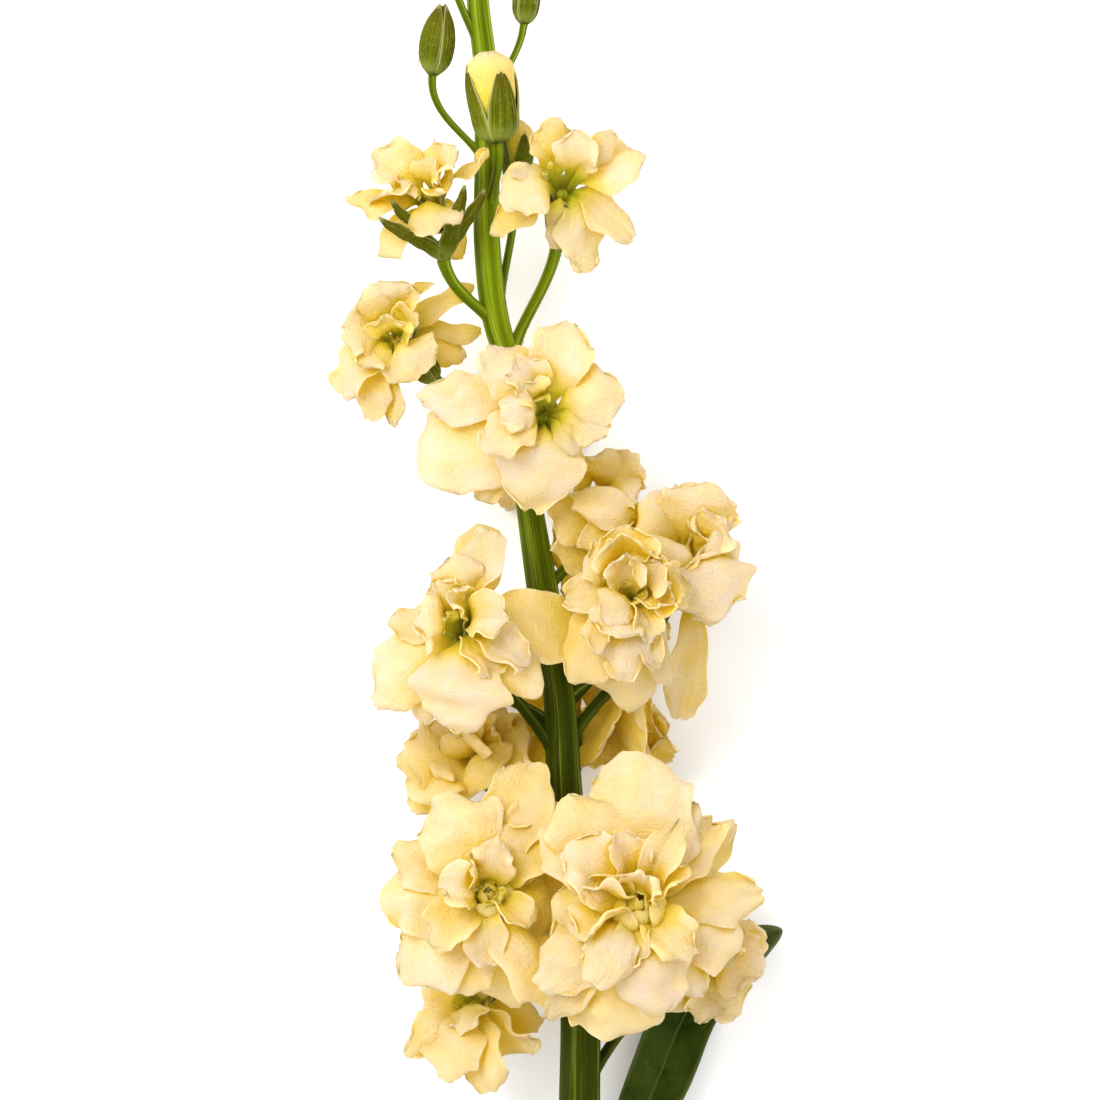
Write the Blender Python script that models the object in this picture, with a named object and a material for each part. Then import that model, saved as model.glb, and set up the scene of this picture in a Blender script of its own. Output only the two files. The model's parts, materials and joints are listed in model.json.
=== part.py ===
"""A cut stem of double stock, Matthiola incana, lying on its side on a flat surface.

The stem runs along Y with its flowering tip at +Y. +X is to its right and +Z is up. The tables below hold
millimetres, in X and Y from the middle of the flowering stretch and in Z from the surface. The meshes are in
metres, with the origin under the middle of the whole stem.
"""

import math
from collections import namedtuple

import bpy
import numpy as np

# Units and the place of the origin
METRES_PER_MM = 0.001
MIDDLE = np.array([1.5, -36.5, 0.0])

# Thicknesses and clearances
PETAL_THICK = 0.8
LEAF_THICK = 1.2
GAP = 0.35
FOOT_PLAY = 0.05
FLOOR_REST = 0.15
FLOOR_DEPTH = 20.0
FLOOR_REACH = 400.0

# The main stem: X, Y, Z of its middle line and its radius, from the cut end to the tip
STEM_LINE = np.array(
    [
        (1.5, -195.0, 3.6, 3.8),
        (2.5, -157.5, 5.4, 3.6),
        (3.6, -127.5, 9.0, 3.4),
        (4.5, -97.5, 13.6, 3.2),
        (4.7, -82.5, 16.0, 3.1),
        (4.8, -72.3, 17.5, 3.0),
        (3.8, -52.5, 19.8, 2.8),
        (2.3, -36.0, 21.0, 2.7),
        (1.5, -22.0, 21.8, 2.4),
        (-0.8, -7.2, 22.0, 2.4),
        (-3.0, 6.6, 22.0, 2.0),
        (-5.4, 26.1, 21.3, 1.8),
        (-8.0, 34.5, 20.9, 2.0),
        (-9.4, 45.6, 20.3, 2.0),
        (-9.5, 60.0, 19.3, 1.9),
        (-9.8, 74.0, 18.2, 1.8),
        (-10.8, 82.5, 17.5, 1.7),
        (-11.4, 100.5, 15.5, 1.2),
        (-12.0, 114.0, 14.4, 0.9),
    ]
)
STEM_SIDES = 10
STEM_STATIONS = 20
STEM_RIDGES = 5
RIDGE_SHARE = 0.06
CUT_SLANT = 0.55

# Flower stalks
STALK_SIDES = 5
STALK_STATIONS = 4
STALK_FLARE = 1.5
BLOOM_STALK = 0.85

# Petals: where a petal is widest along its length, how narrow its claw and tip are, how it widens between them
# and how much wider than it looks from the front it is, because it curves
PEAK = 0.62
CLAW_WIDTH = 0.9
TIP_SHARE = 0.42
LIMB_POWER = 1.3
FULLNESS = 1.12
EDGE_WAVE = 0.75
PETAL_ROWS = np.array([0.0, 0.36, 0.62, 0.84, 1.0])
ACROSS = np.array([-1.0, 0.0, 1.0])
SMALL_ROWS = np.array([0.0, 0.42, 0.8, 1.0])
SMALL_PETAL = 10.0
CORE = [(0.0, 1.3), (0.35, 2.5), (0.75, 2.9), (1.0, 1.6)]
CORE_TOP = 2.4
CORE_SIDES = 6
ROOT_REACH = 2.2
ROOT_LAYERS = 1.3
ROOT_START = 0.5
STACK_STEP = 1.4
NEIGHBOUR_ANGLE = 0.9
GOLDEN_ANGLE = math.radians(137.5)

# How close a petal comes to the plane that parts two blooms, and how softly it bends there
PLANE_MARGIN = 0.65
PLANE_SOFTNESS = 1.6
PRESS_ROUNDS = 4

# A cup of four sepals side by side. Each ring is a share of the cup's length and of its width, at a sepal's
# middle and at its edge: its foot, its belly, its rim and the inside of its mouth, which ends at the floor
SEPALS = 4
Cup = namedtuple("Cup", "middles edges floor")
CALYX_CUP = Cup(
    [(0.0, 0.17), (0.2, 0.36), (0.9, 0.5), (0.6, 0.34)],
    [(0.0, 0.17), (0.2, 0.33), (0.66, 0.43), (0.6, 0.34)],
    0.54,
)
BUD_CUP = Cup(
    [(0.0, 0.16), (0.2, 0.42), (0.5, 0.5), (0.86, 0.43), (0.5, 0.34)],
    [(0.0, 0.16), (0.2, 0.38), (0.4, 0.45), (0.62, 0.44), (0.5, 0.34)],
    0.42,
)
CALYX_WIDTH = 5.4

PETAL_COLOUR = (0.96, 0.84, 0.50)
SEPAL_COLOUR = (0.13, 0.17, 0.03)
STEM_COLOUR = (0.16, 0.22, 0.02)
LEAF_COLOUR = (0.03, 0.06, 0.01)
BUD_COLOUR = (0.20, 0.25, 0.05)

Petal = namedtuple("Petal", "tip width rise crest cup roll claw free")
Bloom = namedtuple("Bloom", "name heart base joint face ruffles petals")
Bud = namedtuple("Bud", "name base tip width joint stalk")
Leaf = namedtuple("Leaf", "name line width up")


def petal(right, up, out, width, rise=3.0, crest=1.5, cup=-0.8, roll=0.0, claw=0.2, free=False):
    """A petal by its tip, measured from the bloom's heart, and its width.

    rise is how far it first follows the bloom's axis, crest how far its outer half bows towards its face, cup
    how far its edges turn to that face, and roll the degrees that it is turned about its own length. A free
    petal reaches past the plane that parts its bloom from the next one.
    """
    return Petal(np.array([right, up, out], float), width * FULLNESS, rise, crest, cup, roll, claw, free)


FRONT = (0.0, 0.2, 1.0)
BACK = (0.0, 0.2, -1.0)

BLOOMS = [
    Bloom(
        "bloom_01", (-17.7, 51.7, 26.5), (-16.0, 43.5, 24.0), 32.0, (-0.3, 0.7, 0.7), 0,
        [
            petal(-13.0, 1.0, 1.5, 8.0, crest=2.5, cup=-1.4),
            petal(-9.6, 7.8, 0.0, 8.0, crest=1.5, cup=1.2),
            petal(-9.3, 0.5, 5.0, 7.5, roll=35),
            petal(-10.6, -8.5, -1.0, 8.5, crest=3.0, cup=-1.5),
            petal(-1.0, -3.6, 6.0, 9.5, rise=5.0, crest=2.5, cup=-1.6),
            petal(5.0, 8.4, 3.0, 9.5, cup=1.4),
            petal(8.2, 8.0, 0.5, 7.5, roll=-25),
            petal(4.6, -7.8, -5.0, 5.0, crest=2.5),
        ],
    ),
    Bloom(
        "bloom_02", (1.8, 54.0, 29.5), (1.2, 47.0, 26.0), 26.0, (0.1, 0.5, 0.9), 1,
        [
            petal(-1.4, 11.1, 2.0, 5.5),
            petal(2.2, 9.8, 4.5, 6.0, cup=1.2),
            petal(8.0, 9.0, 2.0, 4.0, roll=20),
            petal(12.4, 6.0, 0.5, 9.5, crest=2.5, cup=-1.4),
            petal(11.2, -6.4, -1.5, 6.5, crest=2.5),
            petal(4.5, -11.4, -1.0, 7.5, crest=3.0, cup=-1.4),
            petal(-9.3, -3.0, 3.5, 9.0, crest=2.5, cup=-1.2),
            petal(-13.6, -6.2, 0.0, 7.5, crest=2.5),
        ],
    ),
    Bloom(
        "bloom_03", (-22.2, 31.2, 23.0), (-17.2, 25.6, 20.0), 18.5, (-0.3, 0.2, 0.9), 0,
        [
            petal(-6.4, 10.2, 2.5, 12.0, crest=2.0, cup=-1.8),
            petal(1.2, 11.0, 2.0, 7.5, cup=1.2),
            petal(5.2, 11.6, 0.0, 4.0, cup=1.2),
            petal(10.2, 10.0, -3.0, 4.2),
            petal(12.0, 3.0, -4.0, 4.0, crest=2.0),
            petal(9.6, -1.6, -3.5, 5.5, crest=2.0),
            petal(3.0, -5.0, 5.0, 9.5, rise=4.5, crest=2.0, cup=-1.6),
            petal(-9.6, 1.0, 3.0, 7.5, crest=2.0, cup=-1.2),
            petal(-9.4, -8.0, -1.5, 6.5, crest=2.5, cup=1.2),
            petal(-5.8, -11.4, -1.5, 6.0, crest=3.0),
            petal(-2.6, -12.4, -1.0, 5.0, crest=2.5, roll=25),
        ],
    ),
    Bloom(
        "bloom_04", (-1.0, 20.1, 35.0), (-3.4, 15.6, 28.5), 5.0, FRONT, 1,
        [
            petal(4.2, 14.0, 1.4, 8.5, crest=2.0, cup=1.2),
            petal(12.0, 3.8, 0.2, 9.5, crest=3.0, cup=-1.6),
            petal(9.6, -2.6, 2.0, 6.0, crest=2.0),
            petal(-1.8, -14.0, -1.5, 11.5, crest=3.0, cup=-1.8),
            petal(-7.2, 0.2, 5.8, 6.5, rise=4.0, crest=2.0, cup=-1.4),
            petal(-9.2, 9.6, 2.0, 8.0, crest=2.5, cup=-1.6),
            petal(-19.6, 3.8, -3.7, 8.0, crest=3.5, cup=-1.2, claw=0.3),
            petal(-9.0, -5.8, 4.3, 7.0, crest=3.0, roll=20),
            petal(-20.0, -8.5, -5.4, 14.0, crest=4.0, cup=-1.6, claw=0.3),
            petal(-12.2, -15.4, -6.1, 6.0, crest=3.0),
            petal(2.4, -17.6, -8.8, 5.5, crest=2.0, claw=0.3),
        ],
    ),
    Bloom(
        "bloom_05", (6.2, 6.4, 24.0), (4.6, 0.6, 23.0), -8.0, (0.4, 0.3, 0.8), 0,
        [
            petal(3.4, 9.4, 1.0, 10.0, crest=2.5, cup=-1.4),
            petal(8.0, 3.0, 0.5, 9.5, crest=2.0, cup=1.2),
            petal(4.6, -5.4, 2.0, 7.5, crest=2.5),
            petal(-2.6, 7.0, 2.5, 8.0, cup=1.2),
            petal(6.4, -1.6, 3.5, 6.5),
            petal(5.6, 7.0, -3.0, 8.0),
            petal(-2.0, -10.5, 2.5, 9.0, crest=3.0, cup=-1.2),
            petal(3.6, -9.6, 2.0, 8.0, crest=3.0),
        ],
    ),
    Bloom(
        "bloom_06", (20.6, -1.5, 24.5), (17.4, -9.6, 22.0), -34.0, (0.35, 0.35, 0.85), 1,
        [
            petal(0.0, 12.2, 0.0, 10.0, crest=2.5, cup=-1.4),
            petal(4.2, 9.8, -1.0, 6.0, cup=1.2),
            petal(-9.0, 9.4, -0.5, 9.0, crest=2.5, cup=-1.2),
            petal(7.2, 2.0, 0.0, 12.0, crest=3.0, cup=-1.6),
            petal(6.4, 6.4, 3.0, 7.5, cup=1.4),
            petal(6.6, -4.6, 0.5, 11.0, crest=3.0),
            petal(4.6, -9.8, -1.0, 7.5, crest=2.5),
            petal(-5.6, 5.6, 3.0, 9.0, crest=2.0),
            petal(2.0, 3.6, 6.5, 6.0, cup=1.4),
            petal(-0.4, -24.6, -3.0, 6.8, rise=2.0, crest=1.0, cup=1.2, claw=0.72),
        ],
    ),
    Bloom(
        "bloom_07", (12.3, -7.5, 34.0), (12.6, -13.2, 28.5), -25.0, (0.0, 0.1, 1.0), 2,
        [
            petal(-7.0, 6.8, 0.6, 6.0, crest=2.0),
            petal(-1.0, 11.4, 1.6, 8.5, crest=2.0, cup=1.6),
            petal(9.4, 2.4, 1.1, 6.5, crest=2.5, cup=1.4),
            petal(-9.6, -12.6, -1.4, 9.0, crest=3.0, cup=-1.4),
            petal(-1.6, -12.4, 2.2, 6.5, crest=3.0, cup=-1.2),
            petal(-0.6, -17.4, -4.7, 9.0, crest=3.0, cup=-1.6),
            petal(3.6, -10.4, 1.7, 4.0, cup=1.0),
            petal(-10.4, 6.4, -4.7, 6.5, crest=2.0),
            petal(-10.0, 0.2, -0.5, 5.5, crest=2.0, cup=1.2),
            petal(5.0, 6.0, 4.7, 6.0, cup=1.6),
            petal(-4.6, -4.2, 6.1, 6.0, crest=2.5),
        ],
    ),
    Bloom(
        "bloom_08", (-12.6, -12.2, 33.0), (-9.4, -17.0, 28.0), -37.0, FRONT, 1,
        [
            petal(0.0, -15.4, 0.2, 13.0, crest=3.5, cup=-1.8),
            petal(-8.6, 1.4, 3.9, 9.0, crest=3.0, cup=-1.6),
            petal(-11.6, 1.0, -2.5, 5.5, crest=1.5),
            petal(-14.4, -10.6, -3.8, 10.5, crest=3.5, cup=-1.4, claw=0.25),
            petal(-7.0, -13.8, -3.8, 5.0, crest=3.0),
            petal(-1.6, 12.0, 1.9, 8.0, crest=2.0, cup=-1.4),
            petal(-4.6, 7.8, 1.3, 5.5, cup=1.2),
            petal(5.2, 17.4, -1.8, 6.5, crest=2.0, cup=1.2),
            petal(3.4, 20.6, -6.4, 8.5, crest=1.5, claw=0.3),
            petal(7.4, 1.2, 4.8, 7.0, crest=2.0, cup=1.4),
            petal(19.0, -0.6, -5.0, 10.0, rise=5.0, crest=2.0, cup=0.6, claw=0.35, free=True),
            petal(12.4, -9.0, 2.5, 7.0, rise=5.0, crest=2.5),
        ],
    ),
    Bloom(
        "bloom_09", (5.6, -27.0, 12.0), (4.4, -32.0, 13.5), -40.0, (0.2, 0.2, -0.9), 0,
        [
            petal(2.0, 6.0, 2.0, 6.5),
            petal(8.4, 4.0, 2.0, 9.5, crest=2.0),
            petal(12.6, -0.8, 0.5, 9.5, crest=2.0),
            petal(-11.8, -0.8, 1.0, 9.5, crest=2.0),
            petal(-8.4, 4.4, -1.0, 9.0, crest=2.0),
            petal(2.4, -6.0, -7.0, 6.5, crest=2.0),
            petal(9.6, -5.4, -3.0, 7.0, crest=2.0),
            petal(-5.0, -3.0, -8.0, 7.0, crest=2.0),
            petal(4.0, 3.0, -9.0, 7.0, crest=2.0),
        ],
    ),
    Bloom(
        "bloom_10", (-9.4, -33.7, 15.0), (-5.6, -37.6, 16.0), -45.0, (-0.5, 0.2, 0.6), 0,
        [
            petal(-14.2, 1.6, 1.0, 10.0, crest=2.5, cup=-1.2),
            petal(-11.8, 5.4, -1.5, 8.0, crest=2.0),
            petal(-6.2, 6.4, 3.0, 9.0, crest=2.0),
            petal(-12.4, -4.8, 1.5, 9.0, crest=2.5),
            petal(-0.8, 7.4, 3.0, 8.5, crest=2.0),
            petal(5.0, 6.4, -3.0, 9.0, crest=2.0),
            petal(-5.0, 3.0, -9.0, 7.5, crest=2.0),
        ],
    ),
    Bloom(
        "bloom_11", (-8.4, -52.8, 32.5), (-5.4, -57.4, 27.0), -63.0, FRONT, 2,
        [
            petal(-7.8, 16.0, -0.8, 12.5, crest=3.5, cup=-2.0),
            petal(-15.2, 7.8, -3.6, 8.0, crest=2.5),
            petal(-17.2, 0.4, -3.6, 11.5, crest=4.0, cup=-1.6),
            petal(-14.2, -12.2, -3.9, 12.5, crest=4.5, cup=-1.8),
            petal(6.2, 20.8, -5.0, 10.0, crest=2.5, cup=1.2, free=True),
            petal(10.6, 14.6, -3.5, 10.0, crest=2.5, cup=1.2, free=True),
            petal(1.8, 10.2, 4.9, 6.0, cup=1.2),
            petal(3.4, -18.2, -6.0, 9.0, crest=4.0, cup=-1.6),
            petal(10.6, -1.2, -1.0, 9.0, crest=2.5, cup=-1.2, free=True),
            petal(11.4, 6.4, -3.0, 11.0, crest=2.0, free=True),
            petal(10.4, -7.0, -4.0, 7.5, crest=3.0, free=True),
            petal(-5.0, -14.0, -3.2, 9.0, crest=4.0),
            petal(-9.0, 3.0, 5.2, 6.5, crest=2.5, cup=1.4),
        ],
    ),
    Bloom(
        "bloom_12", (12.6, -54.3, 39.0), (10.4, -59.8, 32.5), -68.0, FRONT, 2,
        [
            petal(0.4, 24.2, -3.0, 16.0, crest=5.0, cup=-2.0),
            petal(-10.4, 17.6, 0.0, 11.0, crest=3.0, roll=-10, free=True),
            petal(-12.4, 1.5, 1.0, 9.5, crest=3.0, free=True),
            petal(-11.0, 10.0, 3.5, 10.0, crest=3.0, cup=1.4, free=True),
            petal(-14.2, -11.0, 0.5, 9.5, crest=4.0, cup=-1.4, free=True),
            petal(6.8, 14.4, 4.6, 5.0, crest=3.5, cup=1.4),
            petal(9.2, 16.4, -3.0, 7.0, crest=4.0),
            petal(12.2, 13.6, -4.9, 7.0, crest=4.0, cup=1.2),
            petal(15.2, 13.4, -7.8, 7.0, crest=4.0),
            petal(19.4, 2.8, -5.6, 8.5, crest=5.0, cup=-1.4),
            petal(16.4, -4.8, -2.6, 11.0, crest=5.0, cup=-1.8),
            petal(-5.2, -19.6, -3.5, 14.0, crest=5.0, cup=-1.8),
            petal(3.4, -15.4, -0.4, 10.0, crest=4.5, cup=-1.4),
            petal(-6.6, -10.4, 4.3, 7.5, crest=3.5, cup=-1.4),
            petal(-13.6, -16.0, -3.0, 7.0, crest=4.0),
            petal(2.6, 7.2, 5.7, 6.0, cup=1.6),
        ],
    ),
    Bloom(
        "bloom_13", (21.5, -61.5, 20.0), (16.0, -67.6, 16.0), -88.0, (0.5, -0.3, 0.8), 1,
        [
            petal(10.8, -3.0, 1.0, 9.5, crest=2.5, cup=-1.4),
            petal(7.2, -9.6, 0.0, 8.5, crest=2.5),
            petal(1.2, -10.2, 2.0, 7.5, crest=2.5, cup=1.2),
            petal(-3.6, -8.8, 3.5, 6.5, crest=2.5),
            petal(11.2, 2.2, -1.0, 7.5, crest=2.0),
            petal(6.0, 4.0, -9.0, 8.0, crest=2.0),
            petal(2.0, 6.0, -13.0, 8.0, crest=2.0),
            petal(5.0, -3.0, 5.0, 7.0, cup=1.4),
        ],
    ),
    Bloom(
        "bloom_14", (-10.4, -66.6, 17.0), (-5.4, -63.8, 16.0), -87.0, (-0.3, -0.5, 0.8), 1,
        [
            petal(-11.8, -10.0, -1.0, 6.0, crest=2.5),
            petal(-5.4, -14.2, 1.0, 9.5, crest=3.0, cup=-1.4),
            petal(1.6, -16.2, 0.5, 9.0, crest=3.0),
            petal(7.4, -10.0, -1.0, 8.5, crest=3.0, cup=1.2),
            petal(8.6, -7.0, -3.0, 5.5, crest=2.5),
            petal(-1.0, -7.0, 4.0, 7.0, crest=2.0),
            petal(-7.0, 1.0, -10.0, 8.0, crest=2.0),
            petal(-2.0, 4.0, -12.0, 7.0, crest=2.0),
            petal(-9.0, -4.0, -7.0, 7.0, crest=2.0),
        ],
    ),
    Bloom(
        "bloom_15", (-3.6, 15.0, 7.0), (-3.4, 9.6, 13.0), 0.0, BACK, 0,
        [
            petal(8.5, 1.0, -5.5, 7.5, crest=3.0),
            petal(5.0, 7.5, -5.0, 7.5, crest=3.0),
            petal(-2.0, 9.5, -4.0, 7.5, crest=3.0),
            petal(-8.5, 5.0, -5.0, 7.5, crest=3.0),
            petal(-9.0, -2.5, -5.0, 7.5, crest=3.0),
            petal(-3.5, -8.0, -6.5, 7.5, crest=3.0),
            petal(4.5, -6.5, -6.5, 7.5, crest=3.0),
        ],
    ),
    Bloom(
        "bloom_16", (9.6, -13.2, 7.2), (7.4, -18.0, 13.0), -27.0, BACK, 0,
        [
            petal(9.0, 0.5, -4.0, 7.5, crest=3.0),
            petal(6.0, 7.0, -5.0, 7.5, crest=3.0),
            petal(-2.0, 8.5, -5.0, 7.5, crest=3.0),
            petal(-6.5, 2.5, -6.0, 7.0, crest=3.0),
            petal(-4.5, -5.0, -7.0, 7.0, crest=3.0),
            petal(5.5, -6.5, -6.0, 7.5, crest=3.0),
        ],
    ),
    Bloom(
        "bloom_17", (-13.6, -15.6, 7.6), (-10.4, -19.8, 14.0), -30.0, BACK, 0,
        [
            petal(8.0, 2.0, -6.5, 7.0, crest=3.0),
            petal(4.0, 8.0, -5.5, 7.5, crest=3.0),
            petal(-4.0, 7.5, -5.0, 7.5, crest=3.0),
            petal(-8.5, 1.0, -5.0, 7.5, crest=3.0),
            petal(-5.5, -6.5, -6.0, 7.5, crest=3.0),
            petal(3.5, -7.0, -7.0, 7.0, crest=3.0),
        ],
    ),
    Bloom(
        "bloom_18", (1.4, -51.0, 6.0), (2.6, -57.0, 10.0), -67.0, BACK, 0,
        [
            petal(10.0, 1.5, -4.0, 8.0, crest=3.0),
            petal(6.0, 8.0, -3.5, 8.0, crest=3.0),
            petal(-3.0, 9.0, -3.5, 8.0, crest=3.0),
            petal(-9.5, 3.5, -4.0, 8.0, crest=3.0),
            petal(-7.5, -5.0, -5.0, 8.0, crest=3.0),
            petal(1.0, -8.5, -6.0, 8.0, crest=3.0),
            petal(8.0, -5.5, -5.5, 8.0, crest=3.0),
        ],
    ),
]

# Buds: base, tip, width, the Y where the stalk leaves the stem, and the stalk's radius
BUDS = [
    Bud("bud_01", (-17.9, 71.9, 20.0), (-16.3, 83.0, 20.5), 5.2, 57.0, 0.55),
    Bud("bud_02", (-4.0, 79.6, 20.5), (-3.0, 89.0, 21.0), 3.8, 66.0, 0.5),
    Bud("bud_03", (-7.8, 61.2, 27.0), (-9.4, 75.2, 28.0), 7.6, 50.5, 0.7),
    Bud("bud_04", (-5.1, 55.2, 15.5), (-4.8, 65.6, 14.5), 4.6, 31.0, 0.6),
    Bud("bud_05", (-15.6, 90.5, 18.5), (-16.6, 99.5, 19.0), 4.6, 72.0, 0.6),
    Bud("bud_06", (-12.6, 87.5, 11.5), (-12.8, 97.0, 10.0), 4.6, 76.0, 0.55),
    Bud("bud_07", (-8.2, 97.5, 18.6), (-7.2, 106.0, 19.4), 4.2, 86.0, 0.5),
    Bud("bud_08", (-14.4, 105.0, 18.0), (-15.0, 112.5, 18.8), 3.8, 93.0, 0.45),
]
OPENING_BUDS = ("bud_03", "bud_04")

# Buds are round shapes whose rings are given as (share of the bud's length, share of its width)
BUD_SIDES = 8
BUD_LOBES = 4
LOBE_SHARE = 0.07
BUD_RINGS = np.array([(0.0, 0.18), (0.2, 0.44), (0.5, 0.5), (0.8, 0.32), (1.0, 0.1)])
DOME_RINGS = np.array([(0.0, 0.18), (0.24, 0.28), (0.55, 0.35), (0.8, 0.35), (1.0, 0.15)])

# The crowded buds at the tip: from the lowest, which leans out most, to the last one, which stands straight
TIP_BUDS = 7
TIP_BUD_LENGTH = 7.0
TIP_BUD_WIDTH = 3.0
TIP_BUD_SIDES = 5
TIP_BUD_RINGS = np.array([(0.0, 0.2), (0.3, 0.5), (0.75, 0.38), (1.0, 0.1)])
TIP_LEAN = 0.85
TIP_SHRINK = 0.3
TIP_ROOT_OUT = 0.4
TIP_ROOTS = (1.0, 4.4)
TIP_BODY = [(0.0, 0.9), (0.5, 1.4), (1.0, 0.6)]
TIP_BODY_LENGTH = 5.0

LEAVES = [
    Leaf(
        "leaf_1",
        [(7.6, -103.0, 12.0), (12.2, -92.0, 9.0), (16.8, -81.5, 4.6), (21.6, -71.0, 0.8), (27.6, -63.6, 1.0),
         (32.4, -60.4, 4.0), (35.6, -58.6, 7.4)],
        9.8, (0.1, 0.1, 1.0),
    ),
    Leaf(
        "leaf_2",
        [(0.6, -112.0, 10.6), (-6.0, -106.0, 7.6), (-15.0, -100.0, 3.6), (-24.0, -95.0, 0.4), (-33.6, -89.0, 3.4)],
        9.4, (0.0, 0.0, 1.0),
    ),
    Leaf(
        "leaf_3",
        [(6.6, -134.0, 8.4), (13.0, -124.0, 7.0), (20.0, -113.0, 3.8), (27.0, -101.0, 0.4), (33.0, -88.0, 2.4)],
        11.0, (0.0, 0.0, 1.0),
    ),
    Leaf(
        "leaf_4",
        [(-1.2, -156.0, 5.8), (-8.0, -147.0, 5.0), (-16.0, -138.0, 2.8), (-24.0, -130.0, 0.3), (-33.0, -122.0, 2.8)],
        11.0, (0.0, 0.0, 1.0),
    ),
    Leaf(
        "leaf_5",
        [(6.4, -171.0, 4.6), (13.0, -160.0, 4.4), (19.0, -148.0, 2.6), (24.0, -137.0, 0.3), (28.0, -124.0, 2.2)],
        10.4, (0.0, 0.0, 1.0),
    ),
]

# How narrow a leaf gets, how far its halves rise from the midrib and how its edges wave
LEAF_ROWS = np.linspace(0.0, 1.0, 10)
LEAF_NARROWEST = 0.3
LEAF_FOLD = 0.9
LEAF_WAVE = 0.7
LEAF_WAVES = 1.8


# Vectors


def unit(vector):
    return np.asarray(vector, float) / np.linalg.norm(vector)


def smoothstep(x):
    x = np.clip(x, 0.0, 1.0)
    return x * x * (3.0 - 2.0 * x)


def turned(vector, axis, degrees):
    """The vector turned about a unit axis."""
    angle = math.radians(degrees)
    return (
        vector * math.cos(angle)
        + np.cross(axis, vector) * math.sin(angle)
        + axis * (axis @ vector) * (1.0 - math.cos(angle))
    )


def bezier(a, b, c, d, t):
    """Points of a cubic curve at each t, one a row."""
    t = np.asarray(t, float)[:, None]
    return a * (1 - t) ** 3 + 3 * b * t * (1 - t) ** 2 + 3 * c * t * t * (1 - t) + d * t**3


def smooth_line(points, t):
    """A smooth curve through the points, at shares t of its length, one point a row."""
    points = np.asarray(points, float)
    steps = np.linalg.norm(np.diff(points[:, :3], axis=0), axis=1)
    knots = np.concatenate([[0.0], np.cumsum(steps)]) / steps.sum()
    slopes = np.gradient(points, knots, axis=0)
    t = np.clip(np.asarray(t, float), 0.0, 1.0)
    i = np.clip(np.searchsorted(knots, t, side="right") - 1, 0, len(knots) - 2)
    h = (knots[i + 1] - knots[i])[:, None]
    s = (t - knots[i])[:, None] / h
    return (
        points[i] * (1 + 2 * s) * (1 - s) ** 2
        + slopes[i] * h * s * (1 - s) ** 2
        + points[i + 1] * s * s * (3 - 2 * s)
        + slopes[i + 1] * h * s * s * (s - 1)
    )


def stem_at(y):
    """X, Y, Z and radius of the main stem at each Y."""
    y = np.atleast_1d(np.asarray(y, float))
    columns = [np.interp(y, STEM_LINE[:, 1], STEM_LINE[:, i]) for i in range(4)]
    return np.stack(columns, axis=-1)


# Shapes, as points and triangles in millimetres


def ring_faces(rings, sides):
    """Triangles over rings of points, closed to a point after the rings at each end."""
    faces = []
    for i in range(rings - 1):
        for j in range(sides):
            a, b = i * sides + j, i * sides + (j + 1) % sides
            faces += [(a, b, b + sides), (a, b + sides, a + sides)]
    first, last, top = rings * sides, rings * sides + 1, (rings - 1) * sides
    for j in range(sides):
        faces += [(first, (j + 1) % sides, j), (last, top + j, top + (j + 1) % sides)]
    return np.array(faces)


def tube(line, radii, sides, ridges=0, slant=0.0, end=None):
    """A closed tube along a line. Ridges run along it, and a slant tilts its first end.

    Its last ring is square to the direction that end gives.
    """
    line = np.asarray(line, float)
    along = np.gradient(line, axis=0)
    if end is not None:
        along[-1] = end
    along /= np.linalg.norm(along, axis=1, keepdims=True)
    guide = np.array([0.0, 0.0, 1.0]) if abs(along[0][2]) < 0.9 else np.array([1.0, 0.0, 0.0])
    angles = np.arange(sides) * 2 * math.pi / sides
    points = []
    for i, (centre, direction) in enumerate(zip(line, along)):
        across = unit(np.cross(guide, direction))
        guide = unit(np.cross(direction, across))
        bulge = 1.0 + RIDGE_SHARE * np.cos(ridges * angles) if ridges else np.ones(sides)
        ring = centre + radii[i] * bulge[:, None] * (
            np.cos(angles)[:, None] * across + np.sin(angles)[:, None] * guide
        )
        if i == 0:
            ring += slant * ((ring - centre) @ guide)[:, None] * direction
        points.append(ring)
    return np.vstack(points + [[line[0], line[-1]]]), ring_faces(len(line), sides)


def blade(sheet, thickness):
    """A closed blade round a middle surface, at full thickness inside and none at its rim.

    Both faces are split into triangles alike, and each corner's diagonal runs to the inside.
    """
    rows, columns = sheet.shape[:2]
    normals = np.cross(np.gradient(sheet, axis=0), np.gradient(sheet, axis=1))
    normals /= np.maximum(np.linalg.norm(normals, axis=2, keepdims=True), 1e-9)
    inside = np.zeros((rows, columns), bool)
    inside[1:-1, 1:-1] = True
    upper = np.arange(rows * columns).reshape(rows, columns)
    lower = upper.copy()
    lower[inside] = rows * columns + np.arange(inside.sum())
    offset = normals * thickness / 2
    above = np.where(inside[..., None], sheet + offset, sheet).reshape(-1, 3)
    points = np.vstack([above, (sheet - offset)[inside]])
    faces = []
    for i in range(rows - 1):
        for j in range(columns - 1):
            towards_tip = (i < (rows - 1) / 2) == (j < (columns - 1) / 2)
            for side, flip in ((upper, False), (lower, True)):
                a, b, c, d = side[i, j], side[i + 1, j], side[i + 1, j + 1], side[i, j + 1]
                split = [(a, b, c), (a, c, d)] if towards_tip else [(a, b, d), (b, c, d)]
                faces += [t[::-1] for t in split] if flip else split
    return points, np.array(faces)


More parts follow.
